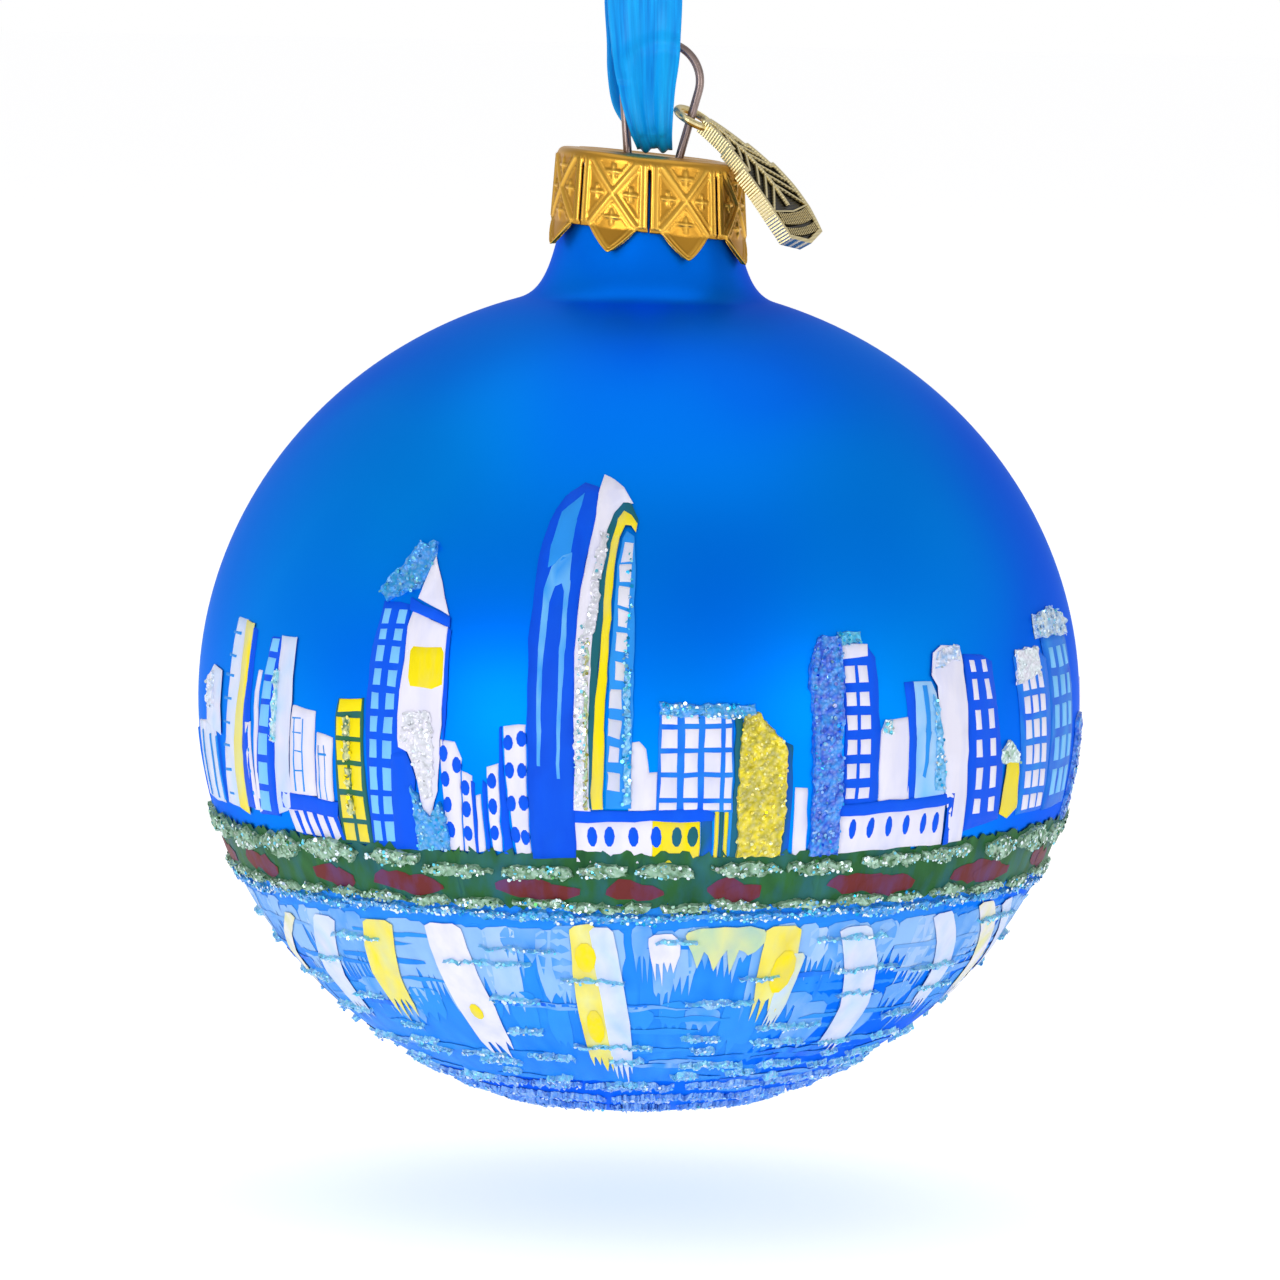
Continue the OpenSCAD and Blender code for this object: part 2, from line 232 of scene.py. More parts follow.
def smooth_route(points, steps):
    """Points of a smooth line through a list of points with any number of values each."""
    made = []
    last = len(points) - 1
    for i in range(last):
        before, here, there, after = (points[max(i - 1, 0)], points[i], points[i + 1], points[min(i + 2, last)])
        for k in range(steps):
            u = k / steps
            made.append([0.5 * (2 * b + (c - a) * u + (2 * a - 5 * b + 4 * c - d) * u * u
                                + (3 * b - a - 3 * c + d) * u ** 3)
                         for a, b, c, d in zip(before, here, there, after)])
    made.append(list(points[-1]))
    return made


ribbon_line = smooth_route(route, 9)
print("ribbon from knot to knot", round(sum(
    math.dist(a[:3], b[:3]) for a, b in zip(ribbon_line, ribbon_line[1:])), 1), "mm")

# %% Ribbon mesh
wire_middle, wire_arch = (0.91, -61.6), 3.6    # the wire loop's middle (x, z) and radius
across = 28                                    # steps across the ribbon


def strip(name_of_uv, line, section):
    """A strip of cloth along a line. section(i, point, s) gives its shift across and out of the cloth at
    share s of its width, from -1 to 1, as (sideways, outwards)."""
    cloth = bmesh.new()
    bmesh.ops.create_grid(cloth, x_segments=across, y_segments=len(line) - 1, size=1)
    cloth.verts.ensure_lookup_table()
    uv = cloth.loops.layers.uv.new(name_of_uv)
    run = [0.0]
    for a, b in zip(line, line[1:]):
        run.append(run[-1] + math.dist(a[:3], b[:3]))
    places = {}
    for v in cloth.verts:
        s = v.co.x
        i = round((v.co.y + 1) / 2 * (len(line) - 1))
        here = line[i]
        a, b = line[max(i - 1, 0)], line[min(i + 1, len(line) - 1)]
        way = Vector((0, b[1] - a[1], b[2] - a[2])).normalized()
        out = Vector((0, way.z, -way.y))
        sideways, outwards = section(i, here, s)
        places[v] = (s, run[i])
        v.co = (Vector(here[:3]) + Vector((sideways, 0, 0)) + out * outwards) * MM
    for face in cloth.faces:
        for loop in face.loops:
            s, along = places[loop.vert]
            loop[uv].uv = ((s + 1) / 2 * ribbon_width / 10, along / 10)
    return cloth


def ribbon_section(i, here, s):
    width = here[3]
    gather = math.sqrt(max(0.0, 1 - (width / ribbon_width) ** 2))
    along = i / len(ribbon_line)
    depth = 0.5 if here[2] < -66.5 else 1.0
    pleat = gather * depth * (0.46 * math.cos(s * 6.3 + 0.6 + 5 * along) + 0.2 * math.cos(s * 13 + 2 + 9 * along))
    cup = 0.12 * (s * s - 0.4)
    crumple = 0.16 * noise.noise(Vector((s * 1.3, here[2] * 0.16, 7 if here[1] < 0 else 3)))
    out = pleat + cup + crumple * (1 - 0.5 * gather)
    sideways = s * width / 2
    # where it lies on the front of the wire loop, the wire's arch shows through
    if here[1] < 0 and -62 < here[2] < -55:
        off = math.hypot(here[0] + sideways - wire_middle[0], here[2] - wire_middle[1]) - wire_arch
        out += 0.42 * math.exp(-(off / 0.6) ** 2)
    return sideways, out


satin, satin_tree, satin_shader = new_finish("double_faced_satin", "#0a9cee", Roughness=0.42, Specular_IOR_Level=0.15)
# Satin floats its warp threads along the ribbon. The threads are about 0.1 mm apart, too fine to show, so they are
# drawn 0.35 mm apart as fine bumps. The colour holds a painted sheen: fine lighter streaks along the threads and
# broad lighter bands along the ribbon.
satin_uv = add(satin_tree, "ShaderNodeUVMap", {"uv_map": "cloth"})
thread_and_sheen_map = add(satin_tree, "ShaderNodeMapping", {"Scale": (28.0, 1.2, 1.0)}, {"Vector": (satin_uv, "UV")})
thread_bump_and_sheen = add(satin_tree, "ShaderNodeTexNoise", {"Scale": 1.0, "Detail": 3.0}, {"Vector": (thread_and_sheen_map, 0)})
sheen_bands_map = add(satin_tree, "ShaderNodeMapping", {"Scale": (5.0, 0.5, 1.0)}, {"Vector": (satin_uv, "UV")})
sheen_bands = add(satin_tree, "ShaderNodeTexNoise", {"Scale": 1.3, "Detail": 2.0}, {"Vector": (sheen_bands_map, 0)})
# painted sheen: the thread noise also lightens the colour in fine lengthwise streaks
thread_sheen_share = add(satin_tree, "ShaderNodeMapRange", {"From Min": 0.35, "From Max": 0.68}, {"Value": (thread_bump_and_sheen, 0)})
thread_sheen_colour = blend_colours(satin_tree, (thread_sheen_share, 0), "#0080d8", "#04a4f4")
# painted sheen: broad lighter bands along the ribbon
sheen_band_share = add(satin_tree, "ShaderNodeMapRange", {"From Min": 0.4, "From Max": 0.7, "To Max": 0.6},
                 {"Value": (sheen_bands, 0)})
satin_sheen_colour = blend_colours(satin_tree, (sheen_band_share, 0), thread_sheen_colour, "#18b8fc")
satin_tree.links.new(satin_sheen_colour[0].outputs[2], satin_shader.inputs["Base Color"])
roughen(satin_tree, satin_shader, (thread_bump_and_sheen, 0), 0.35, 0.0001)

ribbon = put("satin_ribbon", strip("cloth", ribbon_line, ribbon_section), satin)
thick = ribbon.modifiers.new("cloth_thickness", "SOLIDIFY")
thick.thickness, thick.offset = 0.28 * MM, 0

# %% [markdown]
# ## Knot
#
# An overhand knot in doubled ribbon is a tight bundle: the strands go in from below, one turn wraps them, and
# the two cut tails stand out at the top. The bundle is turned from a creased ball, the turn is a slanting band
# swept round it, and the tails are strips of the same cloth that curl a little and end in slanting cuts.

# %% Knot and tails
knot_foot = 1.5


def knot_turn(cloth, tilt, heading, radius, height, width):
    """A band of ribbon that wraps the knot, slanting by tilt degrees towards heading."""
    ring = bmesh.ops.create_circle(cloth, segments=10, radius=1.0)["verts"]
    for v in ring:
        a = math.atan2(v.co.y, v.co.x)
        v.co = Vector((radius + 0.42 * math.cos(a), 0, width / 2 * math.sin(a)))
    edges = list({e for v in ring for e in v.link_edges})
    made = bmesh.ops.spin(cloth, geom=ring + edges, cent=(0, 0, 0), axis=(0, 0, 1), dvec=(0, 0, 0),
                          angle=math.tau, steps=44, use_merge=True, use_duplicate=False)
    turn = Matrix.Translation((0, 0, height)) @ Matrix.Rotation(math.radians(heading), 4, "Z") \
        @ Matrix.Rotation(math.radians(tilt), 4, "X")
    return turn, ring, made


knot_cloth = bmesh.new()
bmesh.ops.create_icosphere(knot_cloth, subdivisions=5, radius=1)
for v in knot_cloth.verts:
    a = math.atan2(v.co.y, v.co.x)
    crease = 1 + 0.06 * math.cos(9 * a + 5 * v.co.z) + 0.07 * noise.noise(v.co * 2.3)
    v.co = Vector((v.co.x * 3.25 * crease, v.co.y * 3.1 * crease, knot_foot + 2.9 + v.co.z * 2.9)) * MM
for tilt, heading, radius, height, width in ((24, 20, 3.0, 4.6, 3.4), (-17, 70, 2.95, 3.4, 2.6)):
    band = bmesh.new()
    turn, _, _ = knot_turn(band, tilt, heading, radius, height, width)
    for v in band.verts:
        ripple = 1 + 0.05 * noise.noise(Vector((v.co.x, v.co.y, v.co.z * 2)) * 0.9)
        v.co = (turn @ Vector((v.co.x * ripple, v.co.y * ripple, v.co.z))) * MM
    bmesh.ops.remove_doubles(band, verts=band.verts, dist=1e-6)
    bmesh.ops.recalc_face_normals(band, faces=band.faces)
    turn_mesh = bpy.data.meshes.new("turn")
    band.to_mesh(turn_mesh)
    band.free()
    knot_cloth.from_mesh(turn_mesh)
uv = knot_cloth.loops.layers.uv.new("cloth")
for face in knot_cloth.faces:
    for loop in face.loops:
        p = loop.vert.co / MM
        loop[uv].uv = (p.z / 10, math.atan2(p.y, p.x) * 0.3)
knot = put("ribbon_knot_bundle", knot_cloth, satin)

tails = []
for side in (-1, 1):
    lean = Matrix.Translation((side * 0.6, side * 0.8, knot_foot + 3.6)) \
        @ Matrix.Rotation(math.radians(-side * 24), 4, "X") @ Matrix.Rotation(math.radians(side * 16), 4, "Y")
    line = []
    for k in range(25):
        up_by = 15 * k / 24
        p = lean @ Vector((side * 0.02 * up_by * up_by, 0, up_by))
        line.append((p.x, p.y, p.z, 3.4 + 3.0 * min(1, up_by / 5)))

    def tail_section(i, here, s, side=side):
        gather = math.sqrt(max(0.0, 1 - (here[3] / ribbon_width) ** 2))
        curl = 0.5 * gather * math.cos(s * 5 + side) + 0.25 * (s * s - 0.3)
        return s * here[3] / 2, curl

    tail = strip("cloth", line, tail_section)
    cut = Vector((side * 0.45, 0, 1)).normalized()
    tip = Vector(line[-1][:3]) * MM
    bmesh.ops.bisect_plane(tail, geom=tail.verts[:] + tail.edges[:] + tail.faces[:],
                           plane_co=tip - Vector((0, 0, 1.5 * MM)), plane_no=cut, clear_outer=True)
    piece = put("ribbon_tail_left" if side < 0 else "ribbon_tail_right", tail, satin)
    cloth_thickness = piece.modifiers.new("cloth_thickness", "SOLIDIFY")
    cloth_thickness.thickness, cloth_thickness.offset = 0.28 * MM, 0
    tails.append(piece)

for piece in [knot] + tails:
    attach(piece, "knot")
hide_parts("ribbon_knot")
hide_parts("ribbon_loop")
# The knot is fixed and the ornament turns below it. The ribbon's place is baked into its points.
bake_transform(ribbon)

# %% [markdown]
# ## Stamped cap
#
# The cap is pressed from thin gold-coloured sheet. The press cuts eight panels apart with narrow slits, raises a
# cross and small flowers on each, and leaves a petal at its foot. It sits a little crooked on the neck.
#
# One grid of faces holds it all: its rows run from the middle of the top, over the shoulder and down to the
# petals, and its columns run round. The stamping is a height worked out for each point, the slits are columns
# of faces taken away, and a Solidify modifier gives the sheet its thickness.

# %% Cap
cap_wall, cap_shoulder, cap_r, skirt_r, petal_r = 0.35, 0.8, 8.7, 9.1, 9.8
skirt_h, petal_h, panel_count, per_panel = 7.0, 9.1, 8, 44
cap_top = BALL.z / MM + 50.9
cap_tilt = math.radians(5)
leg_places = [(-2.1, 0.0), (2.72, 0.0)]
cap_profile = [(r * 0.2, 0.0, 0.0) for r in range(0, 40)] \
    + [(cap_r - cap_shoulder * (1 - math.sin(math.radians(t))), cap_shoulder * (1 - math.cos(math.radians(t))), 0.0)
       for t in range(0, 90, 15)] \
    + [(0.0, cap_shoulder + (skirt_h - cap_shoulder) * k / 44, 1.0) for k in range(0, 45)] \
    + [(0.0, skirt_h + k / 16, 2.0) for k in range(1, 17)]


def ridge(off, wide):
    """Height of a rounded ridge at a distance from its middle."""
    return math.exp(-(off / wide) ** 2)


def stamping(x, d):
    """Raised height of the stamped pattern at x across a panel and depth d below the top, in mm."""
    h = 0.24 * max(ridge(abs(x) - 3.22, 0.15), ridge(abs(x) - 2.8, 0.15)) * (d > 0.6) * (d < 7.3)
    # the cross: two raised bars with a fine line beside each, from the shoulder down to the petal
    if abs(x) < 2.6:
        off = abs(abs(x) - abs(d - 3.7) / 1.25) * 0.78
        h = max(h, 0.24 * ridge(off, 0.24), 0.12 * ridge(off - 0.55, 0.09))
    for fx, fd, reach in ((0, 1.7, 1.0), (0, 5.9, 1.0), (-1.75, 3.7, 0.72), (1.75, 3.7, 0.72)):
        away = math.hypot(x - fx, d - fd)
        if away < reach:
            arm = abs(math.sin(2 * math.atan2(d - fd, x - fx))) * away
            h = max(h, 0.25 * ridge(arm, 0.22) * ridge(max(0, away - 0.5), 0.3))
    # the petal's edge is rolled, with a second line inside it
    if d > 6.6:
        side = abs(x) - 2.3 * (1 - (d - skirt_h) / 2.25) ** 0.85 if d < 9.2 else 0
        h = max(h * (side < -0.9), 0.22 * ridge(side + 0.18, 0.16), 0.14 * ridge(side + 0.62, 0.12))
    return h


cap_sheet = bmesh.new()
bmesh.ops.create_grid(cap_sheet, x_segments=panel_count * per_panel, y_segments=len(cap_profile) - 1, size=1)
raised = cap_sheet.verts.layers.float.new("raised")
slit_faces = []
for face in cap_sheet.faces:
    column = int((face.calc_center_median().x + 1) / 2 * panel_count * per_panel)
    row = int((face.calc_center_median().y + 1) / 2 * (len(cap_profile) - 1))
    if column % per_panel == 0 and row > 40 + 8:
        slit_faces.append(face)
bmesh.ops.delete(cap_sheet, geom=slit_faces, context="FACES")
for v in cap_sheet.verts:
    column = (v.co.x + 1) / 2 * panel_count * per_panel - 0.5
    r, d, kind = cap_profile[round((v.co.y + 1) / 2 * (len(cap_profile) - 1))]
    turn = column / per_panel * 45
    x = ((column / per_panel) % 1 - 0.5) * 7.1
    if kind == 2.0:
        reach = 2.2 * max(0.0, 1 - (abs(x) / 2.35) ** 1.2)
        d = skirt_h + (d - skirt_h) * reach
    if kind > 0:
        r = cap_r + (skirt_r - cap_r) * (min(d, skirt_h) - cap_shoulder) / (skirt_h - cap_shoulder)
        if d > skirt_h:
            r = skirt_r + (petal_r - skirt_r) * (d - skirt_h) / (petal_h - skirt_h)
        h = stamping(x, d)
        v[raised] = h
        r += h - 0.06
    else:
        h = 0.12 * ridge(r - 6.6, 0.22) + 0.1 * ridge(r - 4.4, 0.2) if d == 0 else 0
        h += 0.05 * math.cos(math.radians(turn * 8)) * ridge(r - 5.5, 0.7)
        v[raised] = max(0.06, h)
        d -= h
    a = math.radians(turn - 90)
    v.co = Vector((r * math.cos(a), r * math.sin(a), -d))
bmesh.ops.remove_doubles(cap_sheet, verts=cap_sheet.verts, dist=0.004)
bmesh.ops.dissolve_degenerate(cap_sheet, edges=cap_sheet.edges, dist=0.003)
bmesh.ops.recalc_face_normals(cap_sheet, faces=cap_sheet.faces)
if sum(f.normal.z * f.calc_area() for f in cap_sheet.faces) < 0:
    bmesh.ops.reverse_faces(cap_sheet, faces=cap_sheet.faces)
leg_faces = [f for f in cap_sheet.faces if f.calc_center_median().z > -0.5 and any(
    math.dist(f.calc_center_median().xy, place) < 0.55 for place in leg_places)]
bmesh.ops.delete(cap_sheet, geom=leg_faces, context="FACES")
for v in cap_sheet.verts:
    v.co = Vector((v.co.x, v.co.y, cap_top + v.co.z - v.co.x * math.tan(cap_tilt))) * MM

# Gold-coloured anodised steel: a warm metal, with painted shade that makes it darker and browner where the press
# left it low, and a painted highlight that makes the ridges bright. The sheet has a fine grain that breaks up its
# reflections.
gold, gold_tree, gold_shader = new_finish("stamped_gold_sheet", "#e2a53a", Metallic=1.0, Roughness=0.3)
gold_at = add(gold_tree, "ShaderNodeTexCoord")
gold_height = add(gold_tree, "ShaderNodeAttribute", {"attribute_name": "raised"})
# painted shade and highlight: by height, from dark brown in the low parts to bright gold on the ridges
gold_relief_light_share = add(gold_tree, "ShaderNodeMapRange", {"From Min": -0.02, "From Max": 0.18}, {"Value": (gold_height, "Fac")})
gold_grain = add(gold_tree, "ShaderNodeTexNoise", {"Scale": 900.0, "Detail": 4.0}, {"Vector": (gold_at, "Object")})
gold_cloud = add(gold_tree, "ShaderNodeTexNoise", {"Scale": 160.0, "Detail": 2.0}, {"Vector": (gold_at, "Object")})
gold_painted_relief_light = blend_colours(gold_tree, (gold_relief_light_share, 0), "#8f5c18", "#f6c85a")
gold_relief_light_and_tone = blend_colours(gold_tree, (gold_cloud, 0), gold_painted_relief_light, "#dfa53c")
gold_tree.links.new(gold_relief_light_and_tone[0].outputs[2], gold_shader.inputs["Base Color"])
gold_rough = add(gold_tree, "ShaderNodeMapRange", {"To Min": 0.24, "To Max": 0.42}, {"Value": (gold_cloud, 0)})
gold_tree.links.new(gold_rough.outputs[0], gold_shader.inputs["Roughness"])
roughen(gold_tree, gold_shader, (gold_grain, 0), 0.12, 0.0001)

cap = put("stamped_cap", cap_sheet, gold)
sheet_thickness = cap.modifiers.new("sheet_thickness", "SOLIDIFY")
sheet_thickness.thickness, sheet_thickness.offset = cap_wall * MM, -1
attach(cap, "cap_and_hanger")
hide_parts("ornament_cap")

# %% [markdown]
# ## Wire hanger
#
# The hanger is one piece of springy round wire, 0.8 mm thick, bent over a rod into a loop. Its legs go through
# the cap and spread inside the neck. A curve with a round bevel is the natural way to draw bent wire, and it is
# made a mesh afterwards so that its place is in its points.

# %% Wire
wire_r, loop_r, loop_z, loop_lean = 0.4, 3.6, 7.0, math.radians(10)
leg_l, spring_bend, spring_r, spring_l = 9.0, math.radians(24), 3.0, 12.5
in_cap = Matrix.Translation((0, 0, BALL.z / MM + 47.4)) @ Matrix.Rotation(cap_tilt, 4, "Y") \
    @ Matrix.Translation((0, 0, 3.5))
leg_start = Vector((loop_r * math.cos(loop_lean), loop_z - loop_r * math.sin(loop_lean)))
knee = leg_start + leg_l * Vector((-math.sin(loop_lean), -math.cos(loop_lean)))
leg_line = [leg_start.lerp(knee, s) for s in (0.1, 0.3, 0.5, 0.7, 0.9)]
for k in range(7):
    lean = spring_bend * k / 6 - loop_lean
    leg_line.append(knee + spring_r * Vector((math.cos(loop_lean) - math.cos(lean),
                                              -math.sin(loop_lean) - math.sin(lean))))
leg_line.append(leg_line[-1] + spring_l * Vector((math.sin(spring_bend - loop_lean),
                                                  -math.cos(spring_bend - loop_lean))))
arch = [Vector((loop_r * math.cos(t), loop_z + loop_r * math.sin(t))) for t in
        [-loop_lean + (math.pi + 2 * loop_lean) * k / 40 for k in range(41)]]
wire_line = leg_line[::-1] + arch + [Vector((-p.x, p.y)) for p in leg_line]
wire_curve = bpy.data.curves.new("bent_wire", "CURVE")
wire_curve.dimensions = "3D"
wire_curve.bevel_depth, wire_curve.bevel_resolution, wire_curve.use_fill_caps = wire_r * MM, 4, True
bend = wire_curve.splines.new("POLY")
bend.points.add(len(wire_line) - 1)
for point, p in zip(bend.points, wire_line):
    point.co = (*((in_cap @ Vector((p.x, 0, p.y))) * MM), 1)
wire_drawn = bpy.data.objects.new("bent_wire", wire_curve)
bpy.context.scene.collection.objects.link(wire_drawn)
wire_mesh = bpy.data.meshes.new_from_object(wire_drawn)
bpy.data.objects.remove(wire_drawn)
wire_bm = bmesh.new()
wire_bm.from_mesh(wire_mesh)

# Spring steel with a thin brown lacquer: dull grey-brown metal with drawn lines along it and a rosy shine.
steel, steel_tree, steel_shader = new_finish("lacquered_spring_steel", "#8b7f7c", Metallic=0.9, Roughness=0.34)
steel_at = add(steel_tree, "ShaderNodeTexCoord")
steel_map = add(steel_tree, "ShaderNodeMapping", {"Scale": (1.0, 1.0, 0.25)}, {"Vector": (steel_at, "Object")})
steel_lines = add(steel_tree, "ShaderNodeTexNoise", {"Scale": 2600.0, "Detail": 3.0}, {"Vector": (steel_map, 0)})
steel_stain = add(steel_tree, "ShaderNodeTexNoise", {"Scale": 420.0, "Detail": 3.0}, {"Vector": (steel_at, "Object")})
steel_colour = blend_colours(steel_tree, (steel_stain, 0), "#5f5552", "#b09a94")
steel_tree.links.new(steel_colour[0].outputs[2], steel_shader.inputs["Base Color"])
roughen(steel_tree, steel_shader, (steel_lines, 0), 0.15, 0.00005)
wire = put("wire_hanger", wire_bm, steel)
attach(wire, "cap_and_hanger")
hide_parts("hanger_wire")

# %% [markdown]
# ## Cast charm
#
# The charm is a small cast pendant, dipped black and polished back, so that its raised lines are pale gold and
# its hollows stay dark. It is bent to lie over the cap's shoulder, and its eyelet rides on the wire. This one is
# a plain stepped fir tree with branch ribs and a milled foot.
#
# It is drawn flat as one face, inset for the rim, pressed in for the field and given bars for its ribs. Only
# then is it sliced crosswise and bent round a cylinder, because bending needs points along the bend.

# %% Charm
charm_t, charm_bend, foot = 1.3, 30.0, 16.5
tier = [(0.9, 1.2), (1.7, 5), (2.3, 5), (3, 7.7), (3.6, 7.7), (4.1, 10.5), (4.2, 13), (3.8, 15.6)]
on_wire = in_cap @ Matrix.Translation((leg_start.x - (leg_start.y - 4) * math.tan(loop_lean), 0, 4)) \
    @ Matrix.Rotation(-cap_tilt, 4, "Y") @ Matrix.Rotation(math.radians(-22), 4, "Z") \
    @ Matrix.Rotation(math.radians(-60), 4, "Y") @ Matrix.Rotation(math.radians(-4), 4, "Z") \
    @ Matrix.Translation((0, 0, -0.3))


def bar(metal, start, end, width, low, high):
    """A tapered bar of metal on the flat charm from start to end, each (across, along)."""
    a, b = Vector(start), Vector(end)
    side = (b - a).orthogonal().normalized() * width / 2
    made = bmesh.ops.create_cube(metal, size=1)["verts"]
    for v in made:
        spot = (b if v.co.x > 0 else a) + side * (1 if v.co.y > 0 else -1) * (0.7 if v.co.z > 0 else 1)
        v.co = Vector((spot.x, spot.y, high if v.co.z > 0 else low))
    return made


metal = bmesh.new()
outline = [(w, d) for w, d in tier] + [(0, foot)] + [(-w, d) for w, d in tier[::-1]]
plate = metal.faces.new([metal.verts.new((w, d, charm_t / 2)) for w, d in outline])
metal.normal_update()
if plate.normal.z < 0:
    plate.normal_flip()
walls = bmesh.ops.extrude_face_region(metal, geom=[plate])
for v in [g for g in walls["geom"] if isinstance(g, bmesh.types.BMVert)]:
    v.co.z = -charm_t / 2
bmesh.ops.recalc_face_normals(metal, faces=metal.faces)
for level, depth in ((1, 0.3), (-1, 0.2)):
    field = [f for f in metal.faces if f.normal.z * level > 0.9 and len(f.verts) > 8]
    bmesh.ops.inset_region(metal, faces=field, thickness=0.42, use_even_offset=True)
    bmesh.ops.inset_region(metal, faces=field, thickness=0.12, depth=-depth, use_even_offset=True)
low, high = charm_t / 2 - 0.35, charm_t / 2 + 0.02
bar(metal, (0, 1.6), (0, 12.4), 0.55, low, high)
for k, (d, reach) in enumerate(((3.2, 1.1), (4.4, 1.4), (6.0, 2.1), (7.2, 2.6), (8.7, 3.1), (10.0, 3.5), (11.3, 3.7))):
    for side in (-1, 1):
        bar(metal, (0, d - 0.9 - 0.12 * reach), (side * reach, d + 0.35 * reach), 0.34, low, high - 0.03)
for w0 in [x * 0.42 - 3.36 for x in range(17)]:
    arc = 0.35 * (1 - (w0 / 3.5) ** 2)
    bar(metal, (w0 * 0.94, 12.9 + arc), (w0, 14.1 + arc), 0.22, low, high)
    bar(metal, (w0 * 0.98, 14.45 + arc), (w0, 15.2 + arc), 0.22, low, high - 0.06)
for side in (-1, 1):
    bar(metal, (side * 3.7, 12.75), (0, 13.1), 0.22, low, high)
for k in range(1, 34):
    bmesh.ops.bisect_plane(metal, geom=metal.verts[:] + metal.edges[:] + metal.faces[:],
                           plane_co=(0, k * 0.5, 0), plane_no=(0, 1, 0))
polish = metal.verts.layers.float.new("polish")
milled = metal.verts.layers.float.new("along")
for v in metal.verts:
    w, d, h = v.co
    v[polish] = min(1.0, max(0.0, (h - charm_t / 2 + 0.3) / 0.3)) if h > 0 else 0.8
    v[milled] = d
    edge_wobble = 0.0
    turn = d / charm_bend
    v.co = (on_wire @ Vector(((charm_bend + h) * math.cos(turn) - charm_bend, w,
                              -(charm_bend + h) * math.sin(turn)))) * MM
ring = bmesh.ops.create_circle(metal, segments=12, radius=0.36)["verts"]
for v in ring:
    v.co = Vector((v.co.x * 1.05, 0, 1.72 + v.co.y))
ring_edges = list({e for v in ring for e in v.link_edges})
before = set(metal.verts) - set(ring)
bmesh.ops.spin(metal, geom=ring + ring_edges, cent=(0, 0, 0), axis=(1, 0, 0), dvec=(0, 0, 0), angle=math.tau,
               steps=36, use_merge=True, use_duplicate=False)
for v in [v for v in metal.verts if v not in before]:
    v[polish] = 1.0
    v.co = (on_wire @ v.co) * MM
bmesh.ops.recalc_face_normals(metal, faces=metal.faces)

# Antique brass: cast, blackened and rubbed bright, so height decides between dark oxide and pale metal. The
# milled foot and edge have lines 0.3 mm apart.
brass, brass_tree, brass_shader = new_finish("blackened_cast_brass", "#d8c488", Metallic=1.0, Roughness=0.3)
brass_at = add(brass_tree, "ShaderNodeTexCoord")
brass_height = add(brass_tree, "ShaderNodeAttribute", {"attribute_name": "polish"})
brass_cloud = add(brass_tree, "ShaderNodeTexNoise", {"Scale": 500.0, "Detail": 4.0}, {"Vector": (brass_at, "Object")})
brass_wear = add(brass_tree, "ShaderNodeMath", {"operation": "MULTIPLY_ADD", 1: 0.35},
                 {0: (brass_cloud, 0), 2: (brass_height, "Fac")})
brass_share = add(brass_tree, "ShaderNodeMapRange", {"From Min": 0.45, "From Max": 1.0}, {"Value": (brass_wear, 0)})
brass_colour = blend_colours(brass_tree, (brass_share, 0), "#1d1a16", "#e3d3a0")
brass_tree.links.new(brass_colour[0].outputs[2], brass_shader.inputs["Base Color"])
brass_along = add(brass_tree, "ShaderNodeAttribute", {"attribute_name": "along"})
brass_lines = add(brass_tree, "ShaderNodeMath", {"operation": "MULTIPLY", 1: 21.0}, {0: (brass_along, "Fac")})
brass_wave = add(brass_tree, "ShaderNodeMath", {"operation": "SINE"}, {0: (brass_lines, 0)})
roughen(brass_tree, brass_shader, (brass_wave, 0), 0.25, 0.0001)
charm = put("cast_charm", metal, brass, smooth=False)
charm_edges = charm.modifiers.new("cast_edges", "BEVEL")
charm_edges.width, charm_edges.segments, charm_edges.limit_method = 0.08 * MM, 2, "ANGLE"
charm_edges.angle_limit = math.radians(40)
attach(charm, "charm")
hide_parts("pendant_charm")

# %% [markdown]
# ## Glass ball
#
# The ball is blown glass, silvered and sprayed with a clear blue lacquer, so it shines like satin metal: broad
# soft highlights of bright azure, and a deeper blue where it turns away. A revolved outline is the obvious way
# to make it: `spin` turns the same outline as the part's, with enough steps to keep its edge round.

# %% Ball
globe_skin = bmesh.new()
foot_t = math.radians(73)
foot_point = Vector((BALL_A * math.cos(foot_t), BALL_C * math.sin(foot_t)))
run_on = Vector((BALL_A * math.sin(foot_t), -BALL_C * math.cos(foot_t))).normalized()
guides = [foot_point, foot_point - 2.5 * run_on, Vector((8.9, 40.5)), Vector((7.9, 46.5))]
globe_outline = [(BALL_A * math.cos(math.radians(t)), BALL_C * math.sin(math.radians(t)))
                 for t in [-90 + 163 * k / 100 for k in range(100)]]
for k in range(21):
    u = k / 20
    p = guides[0] * (1 - u) ** 3 + guides[1] * 3 * u * (1 - u) ** 2 + guides[2] * 3 * u * u * (1 - u) + guides[3] * u ** 3
    globe_outline.append((p.x, p.y))
globe_outline += [(7.9, 49.7), (7.1, 49.7), (7.1, 44.0)]
globe_outline[0] = (0.0, -BALL_C)
outline_verts = [globe_skin.verts.new((x * MM, 0, BALL.z + z * MM)) for x, z in globe_outline]
outline_edges = [globe_skin.edges.new(pair) for pair in zip(outline_verts, outline_verts[1:])]
bmesh.ops.spin(globe_skin, geom=outline_verts + outline_edges, cent=(0, 0, 0), axis=(0, 0, 1), dvec=(0, 0, 0),
               angle=math.tau, steps=192, use_merge=True, use_duplicate=False)
bmesh.ops.remove_doubles(globe_skin, verts=globe_skin.verts, dist=1e-6)
bmesh.ops.recalc_face_normals(globe_skin, faces=globe_skin.faces)

lacquer, lacquer_tree, lacquer_shader = new_finish("blue_lacquered_glass", "#007cf6", Metallic=0.75, Roughness=0.42,
                                                   Specular_IOR_Level=0.06)
lacquer_shader.inputs["Specular Tint"].default_value = colour("#2f8df0")
